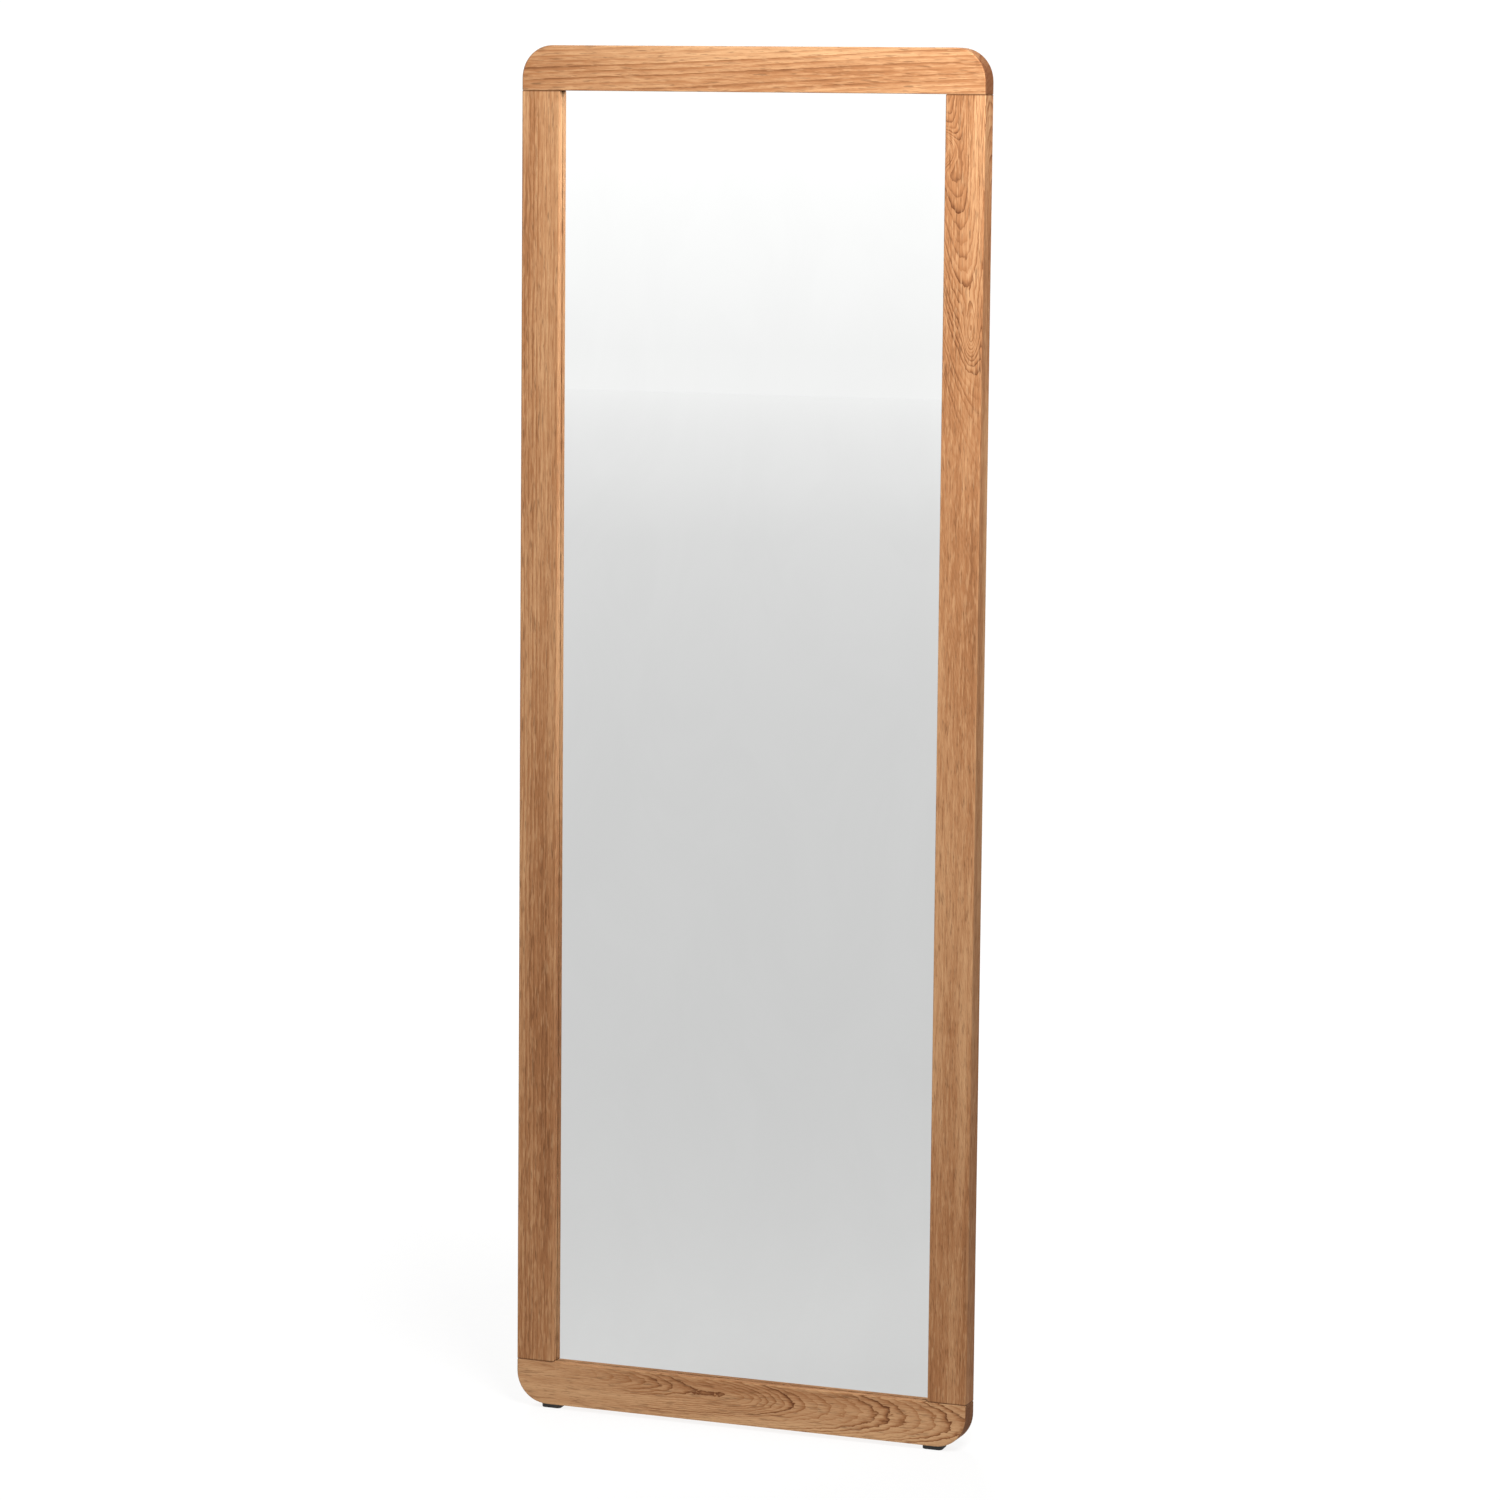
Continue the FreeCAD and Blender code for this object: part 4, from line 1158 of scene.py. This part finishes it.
@dataclass(frozen=True)
class LockNut:
    """A hexagon nut with a rounded collar that grips a nylon ring."""

    corner: float = 5.77 * MM
    height: float = 6.0 * MM
    body: float = 4.4 * MM
    collar: float = 4.4 * MM
    ring: float = 3.75 * MM
    recess: float = 1.2 * MM
    bore: float = 3.0 * MM

    def model(self) -> Piece:
        """Make the nut, standing on its bearing face.

        Returns:
            The nut.
        """
        nut = rod(self.corner, 0.0, self.body, 6)
        tool = rod(self.corner + 0.05 * MM, -GRAZE, self.body + GRAZE, 66)
        bevel(tool, lambda face: faces_up(face) or faces_down(face), 0.75 * MM, 1)
        carve(nut, tool, "INTERSECT")
        collar = rod(self.collar, 0.5 * MM, self.height - 0.02 * MM, 56)
        bevel(collar, faces_up, 0.6 * MM, 4)
        carve(collar, rod(self.ring, self.height - self.recess, self.height + MM, 56))
        carve(collar, rod(self.bore, 0.0, self.height + MM, 48))
        carve(nut, rod(self.bore, -MM, self.height, 48))
        return joined(nut, collar)

    def insert(self) -> Piece:
        """Make the nylon ring inside the collar.

        Returns:
            The ring.
        """
        ring = rod(self.ring, self.height - self.recess, self.height - 0.25 * MM, 56)
        bevel(ring, faces_up, 0.2 * MM, 2)
        carve(ring, rod(self.bore - 0.03 * MM, 0.0, self.height + MM, 48))
        return ring


@dataclass(frozen=True)
class WoodScrew:
    """A wood screw with a cross recess, countersunk or with a low round head."""

    head: float
    radius: float
    pitch: float
    round_height: float = 0.0
    rim: float = 0.25 * MM
    deepest: float = 1.4 * MM
    turn: float = math.radians(37)
    first_turn: float = math.radians(11)

    def model(self, length: float) -> Piece:
        """Make the screw, standing on its point.

        Args:
            length: From its point to the top of its head.

        Returns:
            The screw.
        """
        if self.round_height:
            under = length - self.round_height
            head = rod(self.head, under, length)
            bevel(head, faces_up, 0.6 * self.round_height, 5)
        else:
            under = length - (self.head - self.radius) - self.rim
            head = cone(self.radius, self.head, under, length - self.rim)
            with editing(head, faces_up):
                bpy.ops.mesh.extrude_region_move(TRANSFORM_OT_translate={"value": (0, 0, self.rim)})
            bevel(head, faces_up, 0.08 * MM, 2)
        self._recess(head, length)
        point, core, crest = 3 * self.radius, 0.72 * self.radius, 0.98 * self.radius
        shank = rod(crest, 0.55 * length, under + 0.3 * MM, 28)
        root = rod(core, point, 0.56 * length, 28)
        tip = cone(0.1 * MM, core, 0.0, point + 0.05 * MM, 28)
        ridge = Thread(core, crest, self.pitch, 14).cut(0.7 * point, 0.58 * length)
        return joined(head, shank, root, tip, ridge)

    def _recess(self, head: Piece, top: float) -> None:
        """Sink the cross into a head, narrower at its foot.

        Args:
            head: The head.
            top: Where its top is.
        """
        reach, blade = 0.58 * self.head, 0.13 * self.head
        sink = min(0.42 * self.head, self.deepest)
        for wide, deep, taper in ((reach, blade, (0.55, 0.8, 1.0)), (blade, reach, (0.8, 0.55, 1.0))):
            cut = block(Vector((-wide, -deep, top - sink)), Vector((wide, deep, top + MM)))
            with editing(cut, faces_down):
                bpy.ops.transform.resize(value=taper)
            carve(head, cut)

    def fill(self, node: str, way: Vector, body: str, coat: Coat) -> None:
        """Stand for every screw of a group, each driven home to its own turn.

        Args:
            node: The group's name.
            way: The way from a screw's point to its head.
            body: The body that the screws ride on.
            coat: Their finish.
        """
        axes = [Axis.of(points, way) for points in islands(node)]
        places = []
        for number, axis in enumerate(axes):
            turn = Matrix.Rotation(self.turn * number + self.first_turn, 4, "Z")
            places.append(replace(axis, corner=Vector((1, 0, 0))).matrix() @ turn)
        fit(self.model(axes[0].length), places, node + "_set", body, coat, node)


@dataclass(frozen=True)
class RubberFoot:
    """A moulded foot: rounded corners, a soft lower rim and a well for its screw."""

    corner: float = 5.0 * MM
    rim: float = 0.9 * MM
    well: float = 4.2 * MM
    draft: float = 0.3 * MM
    seat: float = 1.8 * MM
    spare: float = 4.0 * MM

    def model(self, node: str, above: str) -> Piece:
        """Make the foot that fits under a board.

        Args:
            node: The fixed foot's name.
            above: The board that it is screwed to.

        Returns:
            The foot.
        """
        low, high = (corner.copy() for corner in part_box(node))
        top = high.z
        high.z += self.spare
        foot = block(low, high)

        def upright(edge: bpy.types.MeshEdge) -> bool:
            """Whether an edge of the foot stands upright."""
            first, second = (foot.data.vertices[v].co for v in edge.vertices)
            return abs(first.z - second.z) > MM

        with editing(foot, upright, "EDGE"):
            bpy.ops.mesh.bevel(offset=self.corner, segments=8, affect="EDGES")
        bevel(foot, faces_down, self.rim, 4)
        board = Seat.of(above)
        ground = Matrix.Rotation(-board.lean, 3, "X") @ (board.middle - Vector((0, 0, board.half.z)))
        with editing(foot):
            bpy.ops.mesh.bisect(plane_co=ground, plane_no=board.rise, use_fill=True, clear_outer=True)
        middle = (low + high) / 2
        well = cone(self.well + self.draft, self.well, low.z - MM, top - self.seat, 48)
        well.data.transform(Matrix.Translation((middle.x, middle.y, 0)))
        carve(foot, well)
        return foot


@dataclass(frozen=True)
class Bumper:
    """A domed stick-on bumper with a thin skirt and a soft crown."""

    skirt: float = 1.2 * MM
    step: float = 0.7 * MM
    crown: float = 0.5 * MM
    ease: float = 2.6 * MM

    def model(self, radius: float, height: float) -> Piece:
        """Make the bumper, standing on its sticky face.

        Args:
            radius: Of its skirt.
            height: From its sticky face to its crown.

        Returns:
            The bumper.
        """
        dome = rod(radius - self.step, 0.0, height - self.crown, 48)
        bevel(dome, faces_up, self.ease, 7)
        with editing(dome, faces_up):
            for share in (0.4, 0.35, 0.25):
                bpy.ops.mesh.inset(thickness=(radius - self.step - self.ease) * 0.26)
                bpy.ops.transform.translate(value=(0, 0, self.crown * share))
        skirt = rod(radius, 0.0, self.skirt, 48)
        bevel(skirt, faces_up, 0.5 * MM, 3)
        carve(dome, skirt, "UNION")
        return dome


# ---------------------------------------------------------------- sub-assemblies

@dataclass
class FrameJoinery:
    """Two full-width rails with rounded corners, two stiles butted between them, and dowels."""

    top_rail: Figure = Figure(
        heart_across=-0.11, heart_behind=0.03, tilt_across=0.045, spacing=6.5 * MM,
        wander=3 * MM, jag=0.3 * MM, strength=0.62)
    bottom_rail: Figure = Figure(
        heart_across=0.011, heart_behind=0.018, tilt_across=-0.03, tilt_behind=0.1,
        spacing=2.0 * MM, wander=1.6 * MM, jag=0.55 * MM, strength=1.15, start=-0.2, end=0.6,
        knots=(Knot(0.006, 0.0, 0.016, 0.05, -0.006),))
    left_stile: Figure = Figure(
        heart_across=0.19, heart_behind=0.02, spacing=5.2 * MM, wander=1.6 * MM, jag=0.6 * MM,
        strength=0.45)
    right_stile: Figure = Figure(
        heart_across=0.073, heart_behind=0.088, tilt_across=-0.12, tilt_behind=-0.11,
        spacing=1.8 * MM, wander=1.5 * MM, jag=0.4 * MM, strength=0.8, start=0.36, end=0.9,
        knots=(Knot(-0.026, 0.73, 0.014, 0.018, 0.016), Knot(0.011, 0.515, 0.008, 0.03, -0.01)))

    def build(self) -> None:
        """Dress the frame's boards and its dowels."""
        dress_wood("top_rail", HARDWOOD, Along.ACROSS, self.top_rail, 3.7, -0.02)
        dress_wood("bottom_rail", HARDWOOD, Along.ACROSS, self.bottom_rail, 17.3, -0.2)
        dress_wood("left_stile", HARDWOOD, Along.UP, self.left_stile, 29.1, -0.04)
        dress_wood("right_stile", HARDWOOD, Along.UP, self.right_stile, 41.9, 0.03)
        dress_wood("frame_dowels", BEECH, Along.UP, STRAIGHT, 5.5)


@dataclass
class GlassPack:
    """The glass on its foam tape and blocks, the board behind it, and the beads and their pins."""

    bead_seed: float = 61.0

    def build(self) -> None:
        """Dress the pack from the front to the back."""
        dress("mirror_glass", Silvering().material(Seat.of("mirror_glass")))
        dress("glazing_tape", FOAM.material())
        dress("setting_blocks", RUBBER.material())
        dress("backing_board", Fibreboard().material(Seat.of("backing_board")))
        for number, name in enumerate(("left", "right", "top", "bottom")):
            along = Along.UP if name in ("left", "right") else Along.ACROSS
            dress_wood("bead_" + name, BEAD_STOCK, along, STRAIGHT, self.bead_seed + 7 * number,
                       slope="mirror_glass")
        dress("bead_pins", Metal.DRAWN_WIRE.material())


@dataclass
class HingeGear:
    """The rail across the back, its brackets, and the bolts, nuts and washers of the pivot."""

    rail: Figure = Figure(
        heart_across=-0.02, heart_behind=0.05, tilt_behind=0.07, spacing=4.0 * MM, wander=3 * MM,
        jag=0.7 * MM, strength=0.7)
    bolt: HexBolt = HexBolt()
    nut: LockNut = LockNut()
    rail_screw: WoodScrew = WoodScrew(4.4 * MM, 2.2 * MM, 2.0 * MM)
    bracket_screw: WoodScrew = WoodScrew(3.5 * MM, 1.8 * MM, 1.7 * MM)

    def build(self) -> None:
        """Dress the rail, then dress or model its gear."""
        dress_wood("hinge_rail", HARDWOOD, Along.ACROSS, self.rail, 73.0)
        folded = Metal.FOLDED_STEEL.material()
        zinc = "zinc_steel", Metal.ZINC_PLATE.material()
        nylon = "white_nylon", NYLON.material()
        back = Seat.of("hinge_rail").through
        for side, outward in (("left", -1), ("right", 1)):
            dress("hinge_bracket_" + side, folded)
            self._pivot(side, Vector((outward, 0, 0)), zinc, nylon)
        self.rail_screw.fill("hinge_rail_screws", back, "root", zinc)
        self.bracket_screw.fill("bracket_screws", back, "root", zinc)
        dress("pivot_washers", nylon[1])

    def _pivot(self, side: str, outward: Vector, zinc: Coat, nylon: Coat) -> None:
        """Model one side's bolt and nut.

        Args:
            side: Left or right.
            outward: The way from the middle of the mirror to that side.
            zinc: The finish of the bolt and nut.
            nylon: The finish of the nut's ring.
        """
        node = "pivot_bolt_" + side
        axis = Axis.of(islands(node)[0], outward)
        fit(self.bolt.model(axis.length), [axis.matrix()], "hex_bolt_" + side, "root", zinc, node)
        node = "pivot_nut_" + side
        places = [Axis.of(islands(node)[0], -outward).matrix()]
        fit(self.nut.model(), places, "lock_nut_" + side, "root", zinc, node)
        fit(self.nut.insert(), places, "lock_nut_ring_" + side, "root", nylon)


@dataclass
class LadderLeg:
    """The folding leg: two posts, two rungs on dowels, and the sleeves that it turns on."""

    post: Figure = Figure(heart_across=0.12, heart_behind=0.04, spacing=3.8 * MM, wander=2 * MM,
                          jag=0.5 * MM, strength=0.5)
    rung: Figure = Figure(heart_across=0.01, heart_behind=0.04, tilt_behind=0.1, spacing=3.6 * MM,
                          strength=0.6)

    def build(self) -> None:
        """Dress the leg."""
        dress_wood("leg_post_left", HARDWOOD, Along.UP, self.post, 83.0, 0.04)
        dress_wood("leg_post_right", HARDWOOD, Along.UP, self.post, 97.0, -0.02)
        dress_wood("leg_upper_rail", HARDWOOD, Along.ACROSS, self.rung, 101.0)
        dress_wood("leg_lower_rail", HARDWOOD, Along.ACROSS, self.rung, 113.0, 0.05)
        dress_wood("leg_dowels", BEECH, Along.ACROSS, STRAIGHT, 9.5, slope="leg_upper_rail")
        dress("pivot_bushes", Metal.TURNED_BRASS.material())


@dataclass
class FeetAndBumpers:
    """Rubber feet under the rail and the posts, and the bumpers that the folded leg rests on."""

    front: RubberFoot = RubberFoot()
    rear: RubberFoot = RubberFoot(rim=1.4 * MM)
    bumper: Bumper = Bumper()
    screw: WoodScrew = WoodScrew(3.6 * MM, 1.75 * MM, 1.6 * MM, 1.4 * MM)

    def build(self) -> None:
        """Model the feet, their screws and the bumpers."""
        rubber = "black_rubber", RUBBER.material()
        zinc = "zinc_steel", Metal.ZINC_PLATE.material()
        rail, post = Seat.of("bottom_rail"), Seat.of("leg_post_left")
        for side in ("left", "right"):
            front = self.front.model("front_foot_" + side, "bottom_rail")
            hand_over(front, "rail_foot_" + side, "root", rubber, "front_foot_" + side)
            rear = self.rear.model("rear_foot_" + side, "leg_post_" + side)
            hand_over(rear, "post_foot_" + side, "leg", rubber, "rear_foot_" + side)
            axis = Axis.of(islands("fold_bumper_" + side)[0], rail.through)
            fit(self.bumper.model(axis.corner.length, axis.length), [axis.matrix()],
                "domed_bumper_" + side, "root", rubber, "fold_bumper_" + side)
        self.screw.fill("front_foot_screws", -rail.rise, "root", zinc)
        self.screw.fill("rear_foot_screws", -post.rise, "leg", zinc)


# ---------------------------------------------------------------- the studio

@dataclass(frozen=True)
class Lamp:
    """A square soft lamp: where it is, what it points at, its side and its power."""

    name: str
    place: tuple[float, float, float]
    aim: tuple[float, float, float]
    size: float
    power: float

    def build(self) -> None:
        """Hang the lamp; only its light is seen, not the lamp."""
        lamp = bpy.data.lights.new(self.name, "AREA")
        lamp.size = self.size
        lamp.energy = self.power
        lamp.color = (1.0, 1.0, 0.99)
        holder = bpy.data.objects.new(self.name, lamp)
        bpy.context.scene.collection.objects.link(holder)
        holder.location = self.place
        holder.rotation_euler = (Vector(self.aim) - Vector(self.place)).to_track_quat("-Z", "Y").to_euler()
        holder.visible_camera = False


@dataclass
class Studio:
    """A pale floor that glows as painted light, a soft pale room, a soft lamp in front and one behind, and
    the camera.
    """

    floor_radius: float = 150.0
    floor_tone: float = 0.12
    # How bright the floor glows, as painted light: to the eye, in the mirror, and beside the right stile.
    seen_floor_glow: Stops = ((0.1, 0.86), (0.33, 0.94), (0.5, 1.0))
    mirrored_floor_glow: Stops = ((0.07, 0.58), (0.24, 0.6), (0.4, 0.66), (0.53, 0.69), (0.66, 0.76),
                             (0.73, 0.84), (0.88, 0.95))
    mirrored_right_glow: float = 0.52
    cast_right_glow: float = 0.08
    room: Stops = ((0.0, 0.87), (0.04, 1.0), (0.14, 0.96), (0.4, 0.29), (1.0, 0.25))
    room_strength: float = 1.2
    room_right: float = 0.06
    key: Lamp = Lamp("key_lamp", (1.12, -1.12, 2.5), (0.2, 0.0, 1.8), 1.1, 86.0)
    back: Lamp = Lamp("back_lamp", (-1.6, 2.6, 2.6), (0.0, 0.1, 0.9), 1.6, 90.0)
    azimuth: float = math.radians(21.603)
    elevation: float = math.radians(10.012)
    roll: float = math.radians(-0.563)
    distance: float = 6.4028
    lens: float = 123.96
    aim_shift: Vector = field(default_factory=lambda: Vector((-0.0227, -0.009, -0.015)))

    def build(self) -> None:
        """Make the floor, the room's light, both lamps and the camera."""
        self._floor()
        self._room()
        self.key.build()
        self.back.build()
        self._camera()
        bpy.context.scene.view_settings.view_transform = "Standard"

    def _floor(self) -> None:
        """A wide round floor whose glow is painted light: white to the eye, grey in the mirror, and dark
        beside the right stile in the mirror and in the light it casts.
        """
        hold()
        bpy.ops.mesh.primitive_circle_add(vertices=96, radius=self.floor_radius, fill_type="NGON",
                                          location=(0, 0, 0))
        floor = bpy.context.object
        floor.name = "studio_floor"
        shader = Shader("studio_floor")
        place = shader.own()
        right = shader.split(place)[0]
        far = shader.calc("LOGARITHM", shader.vector("LENGTH", place), 10.0)
        far = shader.calc("MULTIPLY_ADD", far, 1 / 3, 1 / 6, clamp=True)
        depth = shader.vector("DOT_PRODUCT", place, (-math.sin(self.azimuth), math.cos(self.azimuth), 0))
        # Painted light: the floor's glow is chosen by the ray, white to the eye, grey in the mirror, and
        # dimmer to the right where it lights the pieces.
        ahead = shader.grade(far, *greys(self.mirrored_floor_glow))
        seen = shader.grade(far, *greys(self.seen_floor_glow))
        mirrored = shader.mix(shader.smooth(right, 0.8, 2.5), ahead, grey(self.mirrored_right_glow))
        cast = shader.mix(shader.smooth(depth, -0.6, -0.37), ahead, seen)
        cast = shader.mix(shader.smooth(right, 0.4, 1.6), cast, grey(self.cast_right_glow))
        ray = shader.node("LightPath").outputs
        glow = shader.mix(ray["Is Glossy Ray"], cast, mirrored)
        glow = shader.mix(ray["Is Camera Ray"], glow, seen)
        rough = shader.times(shader.noise(place, 60, 60, 1, detail=4), 0.2, 0.75)
        floor.data.materials.append(shader.finish(
            Base_Color=(*grey(self.floor_tone), 1.0), Roughness=rough, Specular_IOR_Level=0.1,
            Emission_Color=glow, Emission_Strength=1.0))

    def _room(self) -> None:
        """A pale room, bright near the horizon, that lights the wood only weakly from the right."""
        world = bpy.data.worlds.new("studio_room")
        bpy.context.scene.world = world
        world.use_nodes = True
        room = Nodes(world.node_tree, "Background", "OutputWorld")
        right, _, rise = room.split(room.own("Generated"))
        strength = room.smooth(right, -0.1, 0.6, self.room_strength, self.room_right, "LINEAR")
        ray = room.node("LightPath").outputs
        for kind in ("Is Camera Ray", "Is Glossy Ray"):
            strength = room.calc("MAXIMUM", strength, ray[kind])
        room.put(room.surface, {"Color": room.grade(rise, *greys(self.room)), "Strength": strength})

    def _camera(self) -> None:
        """A long lens, a little above the mirror's middle and to its right."""
        low, high = cad_box
        aim = (low + high) / 2 + self.aim_shift
        forward = Vector((-math.sin(self.azimuth) * math.cos(self.elevation),
                          math.cos(self.azimuth) * math.cos(self.elevation),
                          -math.sin(self.elevation)))
        level = forward.cross(Vector((0, 0, 1))).normalized()
        upright = level.cross(forward)
        right = level * math.cos(self.roll) + upright * math.sin(self.roll)
        up = right.cross(forward)
        turn = Matrix((right, up, -forward)).transposed().to_4x4()
        lens = bpy.data.cameras.new("camera")
        lens.lens = self.lens
        lens.clip_end = 4 * self.floor_radius
        camera = bpy.data.objects.new("camera", lens)
        bpy.context.scene.collection.objects.link(camera)
        camera.matrix_world = Matrix.Translation(aim - forward * self.distance) @ turn
        bpy.context.scene.camera = camera


def main() -> None:
    """Build the studio and every sub-assembly."""
    logging.basicConfig(level=logging.INFO, format="%(name)s: %(message)s")
    for part in (Studio(), FrameJoinery(), GlassPack(), HingeGear(), LadderLeg(), FeetAndBumpers()):
        part.build()
        log.info("%s is built", type(part).__name__)


if __name__ == "__main__":
    main()
